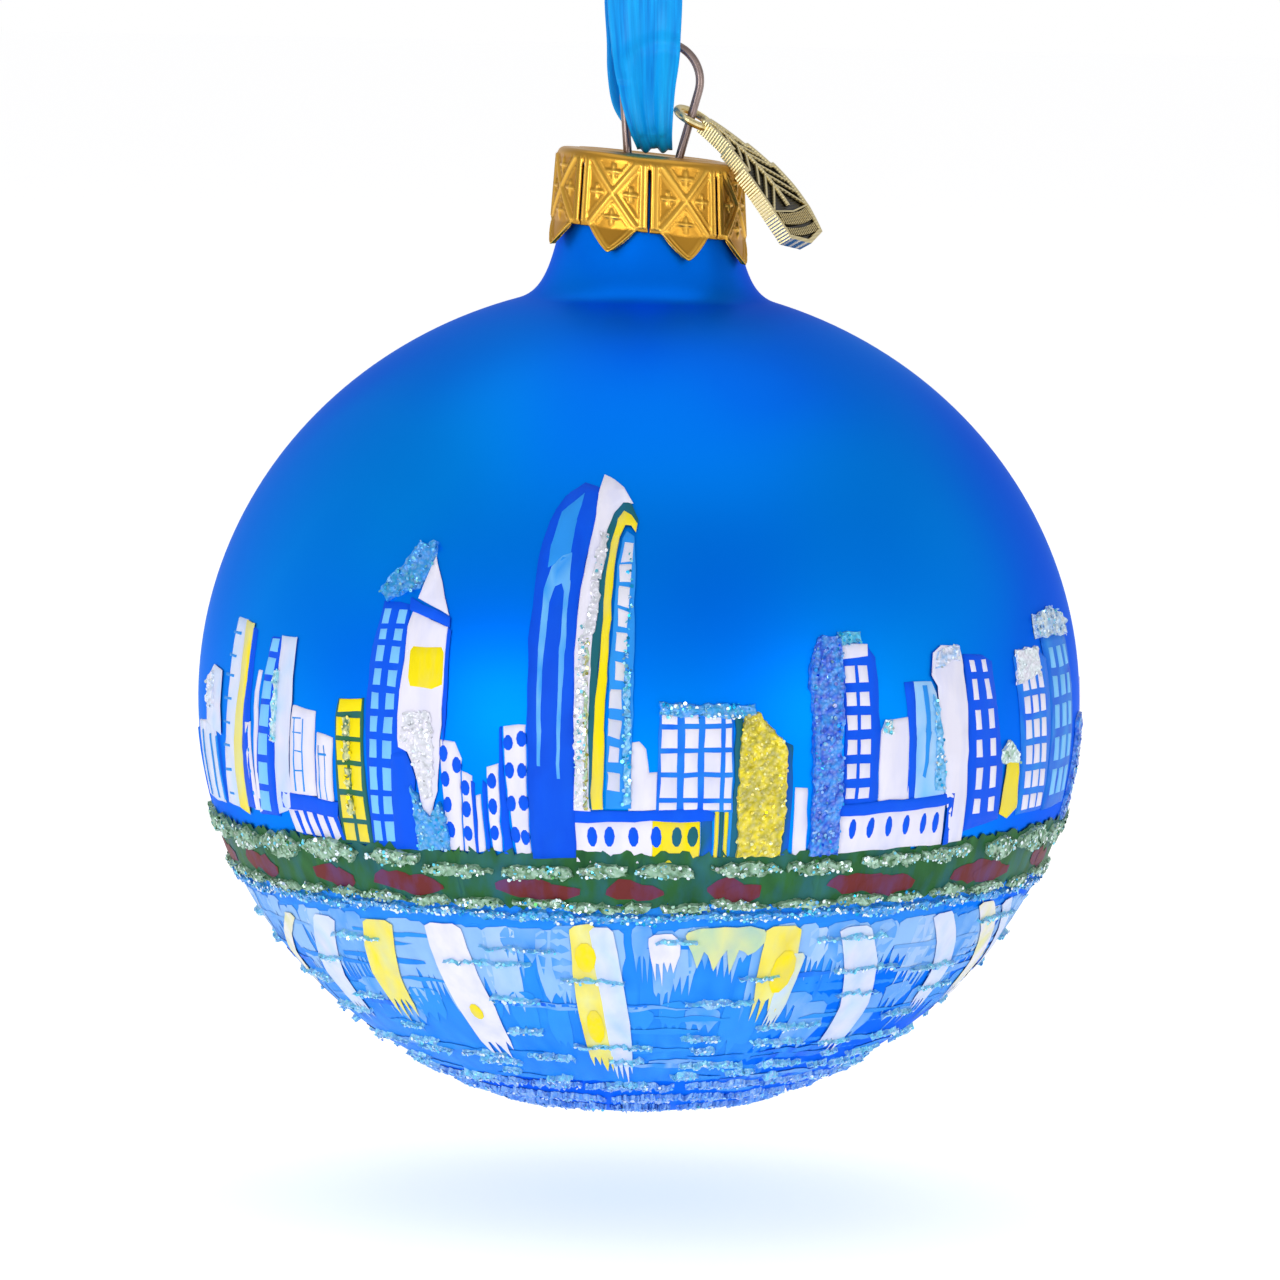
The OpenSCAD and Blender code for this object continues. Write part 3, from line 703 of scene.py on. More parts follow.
# Sprayed lacquer is a little uneven: soft clouds a few centimetres wide, and a bloom of fine mist.
lacquer_at = add(lacquer_tree, "ShaderNodeTexCoord")
lacquer_cloud = add(lacquer_tree, "ShaderNodeTexNoise", {"Scale": 34.0, "Detail": 1.0}, {"Vector": (lacquer_at, "Object")})
lacquer_mist = add(lacquer_tree, "ShaderNodeTexNoise", {"Scale": 1500.0, "Detail": 2.0}, {"Vector": (lacquer_at, "Object")})
lacquer_share = add(lacquer_tree, "ShaderNodeMapRange", {"From Min": 0.38, "From Max": 0.66}, {"Value": (lacquer_cloud, 0)})
lacquer_colour = blend_colours(lacquer_tree, (lacquer_share, 0), "#0074f4", "#0090fa")
lacquer_tree.links.new(lacquer_colour[0].outputs[2], lacquer_shader.inputs["Base Color"])
roughen(lacquer_tree, lacquer_shader, (lacquer_mist, 0), 0.03, 0.0001)
globe = put("lacquered_ball", globe_skin, lacquer)
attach(globe, "globe")
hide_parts("glass_globe")

# %% [markdown]
# ## Painting on the ball
#
# The city is laid on in enamel, one daub over another, each standing a little proud of the last. Image textures
# could show colour but not the raised edge of the paint, so every daub is its own thin relief: an outline drawn
# flat, with azimuth across and height up, sliced into a fine grid, then wrapped onto the ball. Its rim stays on
# the glass and its inside stands out, which rounds the edge as surface tension does.

# %% Daubs
enamel_chart = {
    "white": "#e8e6f6", "pale": "#bcd6f5", "sky": "#7cc6fb", "azure": "#2b93ee", "blue": "#0056ec", "navy": "#004ad6",
    "yellow": "#f4e00c", "straw": "#e6e69a", "teal": "#1d6470", "pine": "#215430", "leaf": "#356f3a",
    "brick": "#6e2e2e", "umber": "#6e5a3c", "turquoise": "#0f9ad8", "aqua": "#62cfe8", "mint": "#a4cdb4",
    "frost": "#dfeef4", "silver": "#c9cdd6", "olive": "#a8a024", "water": "#0f7df0", "mist": "#8fbdf0"}
lean_to = Matrix.Rotation(math.radians(-1), 4, "Y")
rng = random.Random(7)


def on_ball(az, z, lift):
    """A point of the ball at azimuth az, in degrees from the front, and height z, lifted off it, all in mm."""
    t = math.asin(max(-1.0, min(1.0, z / BALL_C)))
    across_by, height = (BALL_A + lift) * math.cos(t), (BALL_C + lift) * math.sin(t)
    spot = Vector((across_by * math.sin(math.radians(az)), -across_by * math.cos(math.radians(az)), height))
    return BALL + (lean_to @ spot) * MM


def heap():
    return {"points": [], "faces": [], "paint": []}


enamel, crust, flakes = heap(), heap(), heap()
DEG = math.radians(1) * BALL_A    # mm round the ball for each degree at its widest


def gather(pile, bm, paints):
    """Adds a small bmesh to a pile, with a colour for each point."""
    first = len(pile["points"])
    bm.verts.index_update()
    pile["points"] += [v.co.copy() for v in bm.verts]
    pile["faces"] += [[first + v.index for v in f.verts] for f in bm.faces]
    pile["paint"] += paints
    bm.free()


def daub(paint, outline, level=0, grain=1.4, crumb=0.0, second=None, lift=None, wobble=0.14, rim=0.13):
    """Lays a patch of paint with an outline of (azimuth, height) points. level counts the coats under it, and
    crumb is how rough its surface is: 0 is flat enamel, and 0.3 is a crust of glitter. A patch with no rim is a
    thin wash, which lies flat."""
    flat = bmesh.new()
    face = flat.faces.new([flat.verts.new((az * DEG, z, 0)) for az, z in outline])
    flat.normal_update()
    if face.normal.z < 0:
        face.normal_flip()
    if rim:
        bmesh.ops.inset_region(flat, faces=[face], thickness=rim, use_even_offset=False, use_boundary=True)
    xs = [v.co.x for v in flat.verts]
    ys = [v.co.y for v in flat.verts]
    for k in range(1, int((max(xs) - min(xs)) / grain) + 1):
        bmesh.ops.bisect_plane(flat, geom=flat.verts[:] + flat.edges[:] + flat.faces[:],
                               plane_co=(min(xs) + k * grain, 0, 0), plane_no=(1, 0, 0))
    for k in range(1, int((max(ys) - min(ys)) / grain) + 1):
        bmesh.ops.bisect_plane(flat, geom=flat.verts[:] + flat.edges[:] + flat.faces[:],
                               plane_co=(0, min(ys) + k * grain, 0), plane_no=(0, 1, 0))
    outer = {v for e in flat.edges if e.is_boundary for v in e.verts}
    ground_lift = 0.015 if crumb or level == 0 else 0.075 + 0.055 * level
    top_lift = (0.16 if lift is None else lift) + 0.055 * level
    if not rim:
        ground_lift = top_lift = 0.03 + 0.035 * level
    paints = []
    low, high = colour(enamel_chart[paint]), colour(enamel_chart[second or paint])
    for v in flat.verts:
        x, y = v.co.x, v.co.y
        drift = noise.noise_vector(Vector((x * 0.5, y * 0.5, level + 3.0))) * wobble * 1.2
        drift += noise.noise_vector(Vector((x * 1.7, y * 1.7, level + 8.0))) * wobble * (2.0 if crumb else 0.5)
        x, y = x + drift.x, y + drift.y
        out = ground_lift if v in outer else top_lift
        shade = 0.5 + 0.8 * noise.noise(Vector((x * 1.1, y * 0.4, 9.0)))
        if crumb and v not in outer:
            out += crumb * (0.2 + abs(noise.noise(Vector((x * 1.3, y * 1.3, 1.0)))) * 1.4 + rng.uniform(0, 0.9))
            shade = rng.uniform(-0.2, 1.2)
        elif rim and v not in outer:
            out += 0.03 * noise.noise(Vector((x * 0.9, y * 0.6, 4.0)))
        shade = max(0.0, min(1.0, shade))
        v.co = on_ball(x / DEG, y, out)
        tone = 0.94 + 0.08 * shade
        paints.append([(a * (1 - shade) + b * shade) * tone for a, b in zip(low[:3], high[:3])] + [1.0])
    gather(crust if crumb else enamel, flat, paints)


def block(paint, left, right, low, high, **more):
    """A daub with straight sides."""
    daub(paint, [(left, low), (right, low), (right, high), (left, high)], **more)


def dot(paint, az, z, half_wide, half_high, **more):
    """An oval daub, with its half width in mm."""
    daub(paint, [(az + half_wide / DEG * math.cos(t), z + half_high * math.sin(t)) for t in
                 [math.tau * k / 10 for k in range(10)]], grain=2.0, wobble=0.08, **more)


flake_shape = bmesh.new()
bmesh.ops.create_circle(flake_shape, cap_ends=True, radius=1, segments=6)
flake_points = [v.co.copy() for v in flake_shape.verts]
flake_shape.free()


def is_inside(az, z, outline):
    """Whether a point is inside an outline, by counting the sides it has on its left."""
    odd = False
    for (a0, z0), (a1, z1) in zip(outline, outline[1:] + outline[:1]):
        if (z0 > z) != (z1 > z) and az < a0 + (a1 - a0) * (z - z0) / (z1 - z0):
            odd = not odd
    return odd


def sprinkle(count, outline, charts, lift=0.4, size=0.16):
    """Scatters glitter flakes over a patch of the ball, each tilted its own way."""
    azs, zs = [p[0] for p in outline], [p[1] for p in outline]
    for _ in range(2 * count):
        az, z = rng.uniform(min(azs), max(azs)), rng.uniform(min(zs), max(zs))
        if not is_inside(az, z, outline):
            continue
        centre = on_ball(az, z, lift * rng.uniform(0.85, 1.25))
        facing = (centre - BALL).normalized() + Vector([rng.gauss(0, 0.3) for _ in range(3)])
        turn = facing.to_track_quat("Z", "Y").to_matrix() @ Matrix.Rotation(rng.uniform(0, math.tau), 3, "Z")
        wide = size * rng.uniform(0.6, 1.25) * MM
        first = len(flakes["points"])
        flakes["points"] += [centre + turn @ (p * wide) for p in flake_points]
        flakes["faces"].append([first + k for k in range(6)])
        flakes["paint"] += [colour(enamel_chart[rng.choice(charts)])] * 6


def frosting(paint, second, outline, crumb=0.22, count=0, charts=("frost",), level=0, lift=0.16, **more):
    """A crust of glitter in clear glue: a rough daub with flakes over it."""
    daub(paint, outline, grain=0.4, crumb=crumb, second=second, level=level, lift=lift, **more)
    sprinkle(count, outline, charts, lift=lift + 0.055 * level + crumb * 0.9)


def ragged(left, right, low, high, rough=0.3, step=1.4, taper=False):
    """The outline of a dabbed patch: its edges wander, and with taper it thins out to both ends."""
    count = max(2, round((right - left) / step))
    mid = (low + high) / 2
    shares = [k / count for k in range(count + 1)]

    def edge(share, z):
        thin = math.sin(math.pi * min(0.96, max(0.04, share))) ** 0.5 if taper else 1.0
        return (left + (right - left) * share + rng.uniform(-0.3, 0.3), mid + (z - mid) * thin + rng.uniform(-rough, rough))

    return [edge(share, low) for share in shares] + [edge(share, high) for share in shares[::-1]]


def windows(paint, columns, rows, level=1, half=None):
    """Rows of small square daubs. columns are (left, right) azimuths at the foot and at the top, rows (low, high)."""
    foot_z, top_z = min(r[0] for r in rows), max(r[1] for r in rows)
    for left0, right0, left1, right1 in columns:
        for low, high in rows:
            def at(a, b, z):
                return a + (b - a) * (z - foot_z) / max(0.01, top_z - foot_z)
            daub(paint, [(at(left0, left1, low), low), (at(right0, right1, low), low),
                         (at(right0, right1, high), high), (at(left0, left1, high), high)], level=level, grain=2.0,
                 wobble=0.09)


# %% [markdown]
# ### The city, from the left edge round to the right
#
# Each building is a facade, then what the painter put on it: bars, windows, ovals and frosting. Heights are in
# millimetres above the ball's middle, and azimuths in degrees from the front.

# %% Left quarter
daub("pale", [(-80, -8.6), (-70.5, -8.8), (-70.4, -1.2), (-80, -1.6)], second="white")
daub("white", [(-74, -1.4), (-68, -2.3), (-67.8, 3.7), (-71.5, 4.0), (-74.2, 2.4)], level=1, second="pale")
for az in (-77, -72.5, -69.6):
    block("azure", az - 0.25, az + 0.25, -8.4, -2.4, level=2)
frosting("white", "pale", [(-74, 0.5), (-70.5, 0), (-70.8, 3.4), (-73, 3.0)], count=14, level=1)
daub("blue", [(-62, -8.4), (-59.4, -8.6), (-58.6, 3.3), (-58.8, 8.0), (-60.4, 8.2)])
daub("white", [(-68.6, -8.6), (-64.6, -8.8), (-63.2, -2.4), (-61.5, 3.2), (-62, 8.8), (-65, 8.9), (-65, 3), (-66.2, -2.2)],
     second="pale")
daub("straw", [(-64.4, -8.8), (-61.6, -9.2), (-60.7, -2.2), (-59.5, 3.3), (-59.7, 8.5), (-62.1, 8.6), (-61.6, 3.2),
               (-63.4, -2.4)], level=1, second="yellow")
for z in (7.2, 5.2, 3.3, 1.2, -1.0, -3.2, -5.5, -7.6):
    block("azure", -66.4 + z * 0.12, -64.2 + z * 0.18, z, z + 0.3, level=1)
block("white", -60, -58.7, -8.6, -0.4)
for z in (-7, -5, -3, -1.3):
    dot("azure", -59.3, z, 0.22, 0.24, level=1)
daub("white", [(-58.6, -8.8), (-57.6, -8.6), (-56.3, 4.3), (-57.1, 4.4)])
daub("blue", [(-58.4, -8.9), (-53.6, -8.9), (-52.9, -3), (-52.2, 3), (-52.2, 7.6), (-54.8, 7.6), (-55.7, 2.7),
              (-57.3, -3.2)])
windows("sky", [(-57.9, -55.4, -54.6, -52.8)],
        [(-8.5, -6.6), (-6.0, -3.9), (-3.3, -1.2), (-0.6, 1.4), (1.9, 3.6), (4.1, 5.7), (6.2, 7.4)])
daub("white", [(-53.6, -8.6), (-50.4, -7.8), (-49.9, -2.7), (-49.0, 2.1), (-49.3, 7.8), (-52.4, 7.7), (-52.3, 1.9),
               (-53, -4.1)], level=1, second="pale")
frosting("frost", "aqua", [(-53.4, -2), (-52.4, -2), (-51.8, 4.6), (-52.8, 4.8)], count=16, charts=("aqua", "frost"),
         level=1)
daub("white", [(-50.3, -6.5), (-45.2, -6.4), (-44.6, 1.3), (-49.0, 1.6)])
for az in (-48.6, -46.9):
    daub("azure", [(az - 0.7, -6.2), (az - 0.3, -6.2), (az + 0.3, 0.6), (az, 0.6)], level=1)
for z in (-4.4, -2.6, -0.9, 0.5):
    block("azure", -48.9, -47.1, z, z + 0.2, level=1)
daub("white", [(-45, -6.8), (-42.1, -7.0), (-41.6, -0.9), (-44.3, -0.6)])
for az in (-44.2, -43.1):
    daub("azure", [(az - 0.3, -6.6), (az, -6.6), (az + 0.3, -1.6), (az + 0.1, -1.6)], level=1)
block("azure", -44.2, -42.6, -2.6, -2.3, level=1)
daub("white", [(-50.5, -10.1), (-41.3, -10.4), (-41.8, -7.9), (-51.6, -7.6)])
for k in range(5):
    az = -49.6 + k * 1.85
    daub("blue", [(az + 0.5, -10.2), (az + 1.2, -10.2), (az + 0.4, -8.0), (az - 0.5, -8.0)], level=1)
daub("blue", [(-52.3, -7.9), (-41.8, -8.3), (-41.4, -6.7), (-52.2, -6.3)], level=1)

# %% Yellow block and the left tower
daub("teal", [(-41.4, -10.6), (-36.3, -10.5), (-36.5, -3.2), (-36.4, 2.9), (-40.6, 2.7), (-41.2, 1.2), (-41.2, -3.4)],
     second="leaf")
daub("yellow", [(-40.6, 1.5), (-36.7, 1.7), (-36.7, 2.8), (-40.4, 2.7)], level=1)
windows("yellow", [(-40.9, -39.1, -40.8, -39.1), (-38.6, -36.9, -38.7, -36.9)],
        [(-10.2, -8.6), (-8.2, -6.0), (-5.5, -3.3), (-2.9, -1.1), (-0.7, 1.1)])
for z in (-6.9, -4.4, -2.0, 0.2):
    frosting("leaf", "straw", [(-39.6, z - 0.9), (-38.4, z - 0.9), (-38.4, z + 0.9), (-39.6, z + 0.9)], crumb=0.12,
             count=6, charts=("straw", "yellow"), level=1)
daub("blue", [(-36.4, -10.6), (-29.6, -10.8), (-28.9, -4.2), (-30.0, -1.8), (-31.2, 1.6), (-30.6, 6.5), (-30.7, 11.4),
              (-35.1, 11.6), (-35.8, 8.1), (-36.1, 2.7), (-36.1, -4.3)])
windows("sky", [(-36.0, -34.7, -34.8, -33.7), (-34.15, -32.6, -32.5, -31.2)],
        [(-10.0, -8.1), (-7.5, -5.8), (-5.3, -3.2), (-2.4, -0.7), (-0.1, 1.4), (2.0, 3.5), (4.1, 5.6), (6.2, 7.7),
         (8.2, 9.2), (9.6, 10.9)])
daub("white", [(-30.4, 10.8), (-24.9, 9.6), (-24.7, 5.8), (-25.1, -0.4), (-25.8, -5.0), (-26.9, -7.4), (-27.9, -6.9),
               (-28.5, -4.2), (-29.6, -1.7), (-31.0, -1.3), (-31.2, 1.6), (-30.8, 6.1), (-30.7, 9.8)], level=1)
frosting("white", "silver", [(-30.4, 1.8), (-26.6, 2.2), (-25.8, -0.6), (-26.4, -5.4), (-27.6, -6.0), (-28.6, -3.6),
                             (-29.6, -1.0), (-30.6, -0.8)], crumb=0.12, count=34, charts=("silver", "frost", "white"),
         level=1)
daub("white", [(-28.3, 15.7), (-26.7, 13.4), (-25.0, 10.6), (-29.8, 12.0), (-29.5, 13.3)], level=1)
daub("blue", [(-30.9, 12.0), (-24.8, 10.4), (-24.6, 9.5), (-30.8, 10.9)], level=2)
daub("blue", [(-24.9, 9.6), (-24.4, 9.3), (-24.3, 3), (-24.7, -1), (-24.9, 2)], level=1)
daub("yellow", [(-29.8, 7.4), (-29.4, 7.8), (-25.5, 7.8), (-25.1, 7.3), (-25.0, 4.5), (-26.6, 4.0), (-29.5, 4.3),
                (-29.8, 5.0)], level=2)
frosting("turquoise", "azure", [(-36.2, 12.3), (-33.4, 14.8), (-31.3, 16.8), (-28.4, 17.0), (-28.2, 15.6), (-29.7, 12.9),
                               (-34.6, 11.5)], count=56, charts=("turquoise", "azure", "aqua"))
daub("blue", [(-32.2, -1.9), (-29.9, -1.6), (-28.8, -4.0), (-28.9, -10.6), (-32.8, -10.7)], level=1)
frosting("turquoise", "azure", [(-29.3, -4.4), (-27.8, -6.6), (-26.8, -7.4), (-25.6, -5.9), (-24.6, -7.2),
                                (-24.8, -10.4), (-29.2, -10.4)], count=46, charts=("turquoise", "aqua"), level=1)

# %% Small white houses
for facade, spots in (
        ([(-24.9, -10.4), (-22.9, -10.4), (-22.3, -2.1), (-23.1, -0.6), (-25.2, -0.4)],
         [(-24.7, -1.6), (-24.6, -3.9), (-24.4, -6.2), (-24.3, -8.5), (-22.9, -2.6)]),
        ([(-22.7, -10.4), (-21.0, -10.4), (-20.9, -3.6), (-22.2, -3.2)], [(-21.8, -4.6), (-21.9, -6.6), (-21.9, -8.8)]),
        ([(-20.7, -10.4), (-19.8, -10.4), (-19.8, -5.2), (-20.5, -5.3)], []),
        ([(-18.9, -10.4), (-17.6, -10.4), (-17.4, -2.3), (-19.0, -2.6)], [(-18.3, -3.9), (-18.3, -6.2), (-18.3, -8.6)]),
        ([(-15.6, -10.7), (-13.8, -10.7), (-13.9, 1.2), (-16.7, 1.0), (-16.3, -4.7)],
         [(-16.1, -0.4), (-16.0, -2.9), (-15.8, -5.9), (-15.5, -8.7), (-14.4, 0.0), (-14.4, -2.9), (-14.3, -5.8),
          (-14.3, -8.9)])):
    daub("white", facade)
    for az, z in spots:
        dot("blue", az, z, 0.48, 0.78, level=1)
daub("blue", [(-17.4, -10.6), (-16.0, -10.6), (-16.5, -4.7), (-16.9, 1.0), (-17.3, 0.9)])
for az in (-20.9, -19.4):
    daub("blue", [(az - 0.25, -10.5), (az + 0.25, -10.5), (az + 0.3, -4.2), (az - 0.2, -3.9)])

# %% Main tower
daub("blue", [(-13.7, -10.8), (-13.8, 2.8), (-14.0, 9.1), (-13.7, 15.3), (-12.8, 19), (-10.8, 21.2), (-8, 22.4),
              (-5.6, 22.0), (-6.2, 18.3), (-7.0, 15.4), (-7.6, 11.6), (-7.9, 7.9), (-7.8, 2.9), (-7.7, -2.2),
              (-7.8, -10.8)], second="navy", lift=0.24)
daub("azure", [(-7.9, 21.5), (-11.2, 19.8), (-12.1, 17), (-12.2, 14.8), (-9.1, 15.9), (-8.6, 19)], level=2)
daub("sky", [(-12.5, -2.5), (-12.7, 8), (-12.5, 13), (-11.8, 15), (-10.4, 16.1), (-8.9, 16.3), (-8.8, 13.5), (-9.1, 8),
             (-9.6, -3.6), (-10.1, -3.6), (-10.0, 8), (-9.7, 12.9), (-10.1, 13.6), (-10.9, 13.3), (-11.4, 12),
             (-11.7, 8), (-11.9, -2.5)], level=2, second="azure")
daub("white", [(-8, -6.4), (-7.8, -2.2), (-7.9, 2.9), (-8, 7.9), (-7.7, 11.6), (-7.1, 15.4), (-6.2, 19.3), (-5.9, 21.4),
               (-5.1, 22.9), (-3.6, 22.6), (-2.2, 21.9), (-0.7, 20.5), (-2.2, 20.4), (-3.5, 19.5), (-4.3, 18.2),
               (-4.9, 16.0), (-5.5, 12.9), (-5.8, 6.7), (-5.9, 0), (-5.9, -6.4)], level=1, lift=0.26)
for low, high in ((-6, -1), (-1, 4), (4, 9), (9, 14), (14, 18)):
    left = -7.9 + max(0, high - 8) * 0.16
    frosting("white", "silver", [(left, low), (left + 1.5, low), (left + 1.6 + max(0, high - 9) * 0.08, high),
                                 (left + 0.2 + max(0, high - 9) * 0.1, high)], crumb=0.16, count=8,
             charts=("frost", "silver", "aqua"), level=2)
for low, high in ((-6.2, -2.5), (-2.5, 1.5), (1.5, 5.5), (5.5, 9)):
    frosting("olive", "mint", [(-6.75, low), (-6.2, low), (-6.1, high), (-6.6, high)], crumb=0.12, count=5,
             charts=("olive", "straw", "mint"), level=3)
daub("teal", [(-6.3, -6.2), (-6.3, 2.9), (-6.1, 6.7), (-5.6, 12.9), (-5, 16.5), (-4.3, 18.8), (-3.4, 20.1), (-2.1, 20.9),
              (-0.9, 20.5), (0.1, 19.2), (-0.2, 18.6), (-2, 19.4), (-3.0, 18.8), (-3.7, 17.0), (-4.2, 13.9), (-4.9, 6.4),
              (-5.4, 0.4), (-5.7, -6.2)], level=2)
daub("yellow", [(-5.8, -6.2), (-5.5, 0.4), (-4.9, 6.4), (-4.2, 14.9), (-3.8, 17.1), (-3.1, 19.1), (-2.1, 19.9),
                (-0.9, 19.5), (-0.1, 18.8), (-0.3, 18.0), (-1, 18.6), (-1.9, 18.6), (-2.7, 17.6), (-3.1, 15.4),
                (-3.6, 10.4), (-3.9, 5.4), (-4.1, 0.4), (-4.4, -6.2)], level=3)
daub("azure", [(-3.9, -6.2), (-3.8, 0.4), (-3.4, 7.9), (-2.8, 15.4), (-2.2, 17.6), (-1.6, 18.3), (-0.6, 17.8),
               (-0.5, 12.9), (-0.5, 5.5), (-0.9, -6.2)], level=2)
for z, az in ((16.4, -1.5), (14.6, -1.7), (12.6, -1.8), (10.7, -1.9), (8.5, -2.1), (6.2, -2.2), (3.6, -2.8), (1.1, -2.9),
              (-1.3, -3.0), (-3.7, -3.0)):
    daub("white", [(az - 0.75, z - 0.8), (az + 0.7, z - 0.85), (az + 0.78, z + 0.75), (az - 0.65, z + 0.85)],
         level=3, second="silver", wobble=0.3)
for low, high in ((-6, -2), (-2, 2), (2, 6)):
    frosting("turquoise", "sky", [(-1.9, low), (-0.9, low), (-0.8, high), (-1.7, high)], crumb=0.14, count=12,
             charts=("turquoise", "aqua"), level=2)
sprinkle(30, [(-1.9, 6), (-0.7, 6), (-0.9, 17), (-1.5, 17)], ("aqua", "turquoise"), lift=0.3)
sprinkle(50, [(-7.8, -5), (-6.5, -5), (-6.3, 10), (-7.4, 10)], ("aqua", "frost"), lift=0.36)

# %% Low houses by the tower
daub("white", [(-1.2, -6.4), (2.4, -6.3), (2.3, -2.8), (1.3, -2.8), (1, -0.9), (0.3, -0.1), (-0.9, -0.2)])
daub("azure", [(2.2, -6.6), (12.0, -6.6), (11.8, 3.0), (2.7, 3.1)], second="blue")
windows("white", [(2.7, 4.8, 2.9, 4.9), (5.6, 7.4, 5.8, 7.5), (8.1, 10.2, 8.2, 10.3), (10.7, 11.7, 10.8, 11.6)],
        [(-6.3, -5.6), (-5.2, -3.3), (-2.9, -1.1), (-0.7, 1.0), (1.4, 2.2)])
frosting("turquoise", "azure", [(2.6, 2.0), (12.4, 1.9), (14.8, 1.9), (14.6, 3.1), (2.7, 3.3)], crumb=0.14, count=50,
         charts=("turquoise", "aqua", "frost"), level=1)
daub("teal", [(11.8, -10.7), (13.2, -10.7), (13.0, 1.8), (12.1, 2.4)], level=1)
daub("teal", [(18.2, -10.7), (19.8, -10.7), (19.5, -0.6), (18.3, -0.2)], second="blue")
frosting("yellow", "olive", [(12.6, -10.7), (12.3, -3.5), (12.7, 0), (13.2, 2.2), (14.9, 2.3), (17, 0.9), (18.5, -0.5),
                             (18.7, -3.6), (18.6, -10.7)], crumb=0.22, count=56, charts=("yellow", "straw", "yellow"),
         level=1)
daub("white", [(-7.9, -11.2), (1.9, -11.2), (1.9, -7.2), (-7.9, -7.3)])
daub("yellow", [(1.8, -11.2), (7.9, -11.2), (7.9, -7.2), (1.8, -7.2)])
for az, paint in ((-5.7, "blue"), (-3.6, "blue"), (-0.5, "blue"), (2.3, "blue"), (5.0, "teal"), (7.0, "teal")):
    dot(paint, az, -8.7, 0.52, 1.0, level=1)
daub("blue", [(-8.1, -7.5), (-8.1, -6.4), (8.6, -6.1), (9.6, -6.6), (9.4, -7.4), (1.5, -7.3)], level=1)
daub("teal", [(8.0, -10.9), (9.5, -10.9), (9.4, -7.0), (8.0, -7.0)], second="blue")
for az, paint in ((9.7, "yellow"), (10.3, "teal"), (10.9, "yellow"), (11.4, "azure")):
    block(paint, az, az + 0.55, -10.7, -6.4, wobble=0.05)
daub("white", [(20.3, -10.7), (22.1, -10.7), (21.5, -4.6), (19.9, -4.5)])

# %% Right quarter
frosting("navy", "azure", [(22.4, -10.8), (26.5, -10.8), (26.0, 0), (26.7, 8.8), (23.4, 9.0), (21.7, 6.4), (22.1, 0)],
         crumb=0.26, count=110, charts=("azure", "turquoise", "blue", "azure"))
daub("blue", [(26.4, -6.4), (31.5, -6.4), (31.4, 6.9), (30.2, 8.1), (26.3, 8.3)])
daub("white", [(26.4, 8.2), (30.1, 8.1), (30.1, 6.9), (26.4, 6.8)], level=1)
windows("white", [(26.8, 28.2, 26.6, 28.1), (28.6, 30.2, 28.5, 29.9)],
        [(-5.7, -4.7), (-3.9, -2.5), (-1.7, -0.3), (0.5, 1.8), (2.6, 3.9), (4.7, 6.2)])
frosting("aqua", "turquoise", [(26.0, 8.0), (29.4, 8.2), (29.2, 9.2), (26.2, 9.2)], crumb=0.16, count=16,
         charts=("aqua", "turquoise"), level=1)
daub("white", [(31.6, -6.2), (36.4, -6.2), (35.7, 1.3), (32.3, 1.2), (31.5, 0.3)])
frosting("frost", "aqua", [(31.6, 0.2), (33.2, 0.0), (33.4, 1.3), (32.2, 1.3)], crumb=0.14, count=12,
         charts=("aqua", "frost"), level=1)
daub("blue", [(35.9, -6.2), (37.4, -6.2), (36.9, 4.5), (35.5, 4.4)])
daub("sky", [(37.1, -6.2), (42.3, -6.2), (41.8, -2.8), (40.3, 3.5), (39.6, 4.4), (36.8, 4.5)], level=1, second="pale")
daub("azure", [(38.1, 4.2), (38.9, 4.2), (39.3, 0), (38.8, -4.2), (38.2, -4), (38.4, 0)], level=2)
frosting("turquoise", "sky", [(39.6, 3.6), (40.6, 2.6), (41.8, -3), (42.4, -5.6), (40.2, -5.4), (40.0, -1)], crumb=0.12,
         count=36, charts=("turquoise", "aqua", "frost"), level=1)
daub("white", [(40.2, 7.0), (41.8, 7.5), (45.0, 7.4), (45.3, 5.7), (45.7, 1.6), (45.9, -3.0), (46.9, -10.4),
               (44.2, -10.4), (42.3, -5.8), (40.9, -0.4), (40.5, 4.1), (39.8, 5.0)], level=2)
frosting("white", "mist", [(40.4, 5.4), (44.6, 6.2), (44.8, 7.6), (40.6, 7.2)], crumb=0.12, count=14, charts=("frost",),
         level=2)
daub("blue", [(46.9, -9.6), (54.2, -9.0), (53.2, -3), (51.7, 1.3), (51.1, 5.8), (49.5, 6.4), (45.8, 6.6), (45.8, 1.6),
              (46.0, -3)])
windows("white", [(48.1, 49.5, 46.6, 47.6), (51.2, 52.6, 49.0, 50.0)],
        [(-8.0, -6.6), (-5.8, -3.8), (-2.9, -1.2), (-0.3, 1.5), (2.4, 4.3), (4.9, 6.0)])
daub("white", [(26.2, -10.7), (43.2, -10.5), (42.6, -6.8), (26.0, -6.9)], level=1)
for az in (28.2, 30.9, 33.6, 36.4, 39.2, 41.3):
    dot("blue", az, -8.4, 0.42, 1.0, level=2)
daub("blue", [(25.8, -7.3), (42.9, -7.0), (43.4, -10.6), (44.4, -10.5), (44.0, -5.8), (25.7, -6.2)], level=2)
frosting("mint", "frost", [(53.0, -3.8), (52.8, -2.5), (54.1, -1.5), (56.4, -2.4), (57.1, -3.8)], crumb=0.16, count=14,
         charts=("mint", "frost"))
daub("yellow", [(54.0, -8.2), (56.3, -8.9), (58.1, -8.0), (57, -3.5), (54.2, -3.4)], level=1)
daub("azure", [(58.6, -8.8), (66.2, -8.8), (65.3, 5.4), (62.6, 6.4), (56.3, 5.9), (56.9, 1)], second="blue")
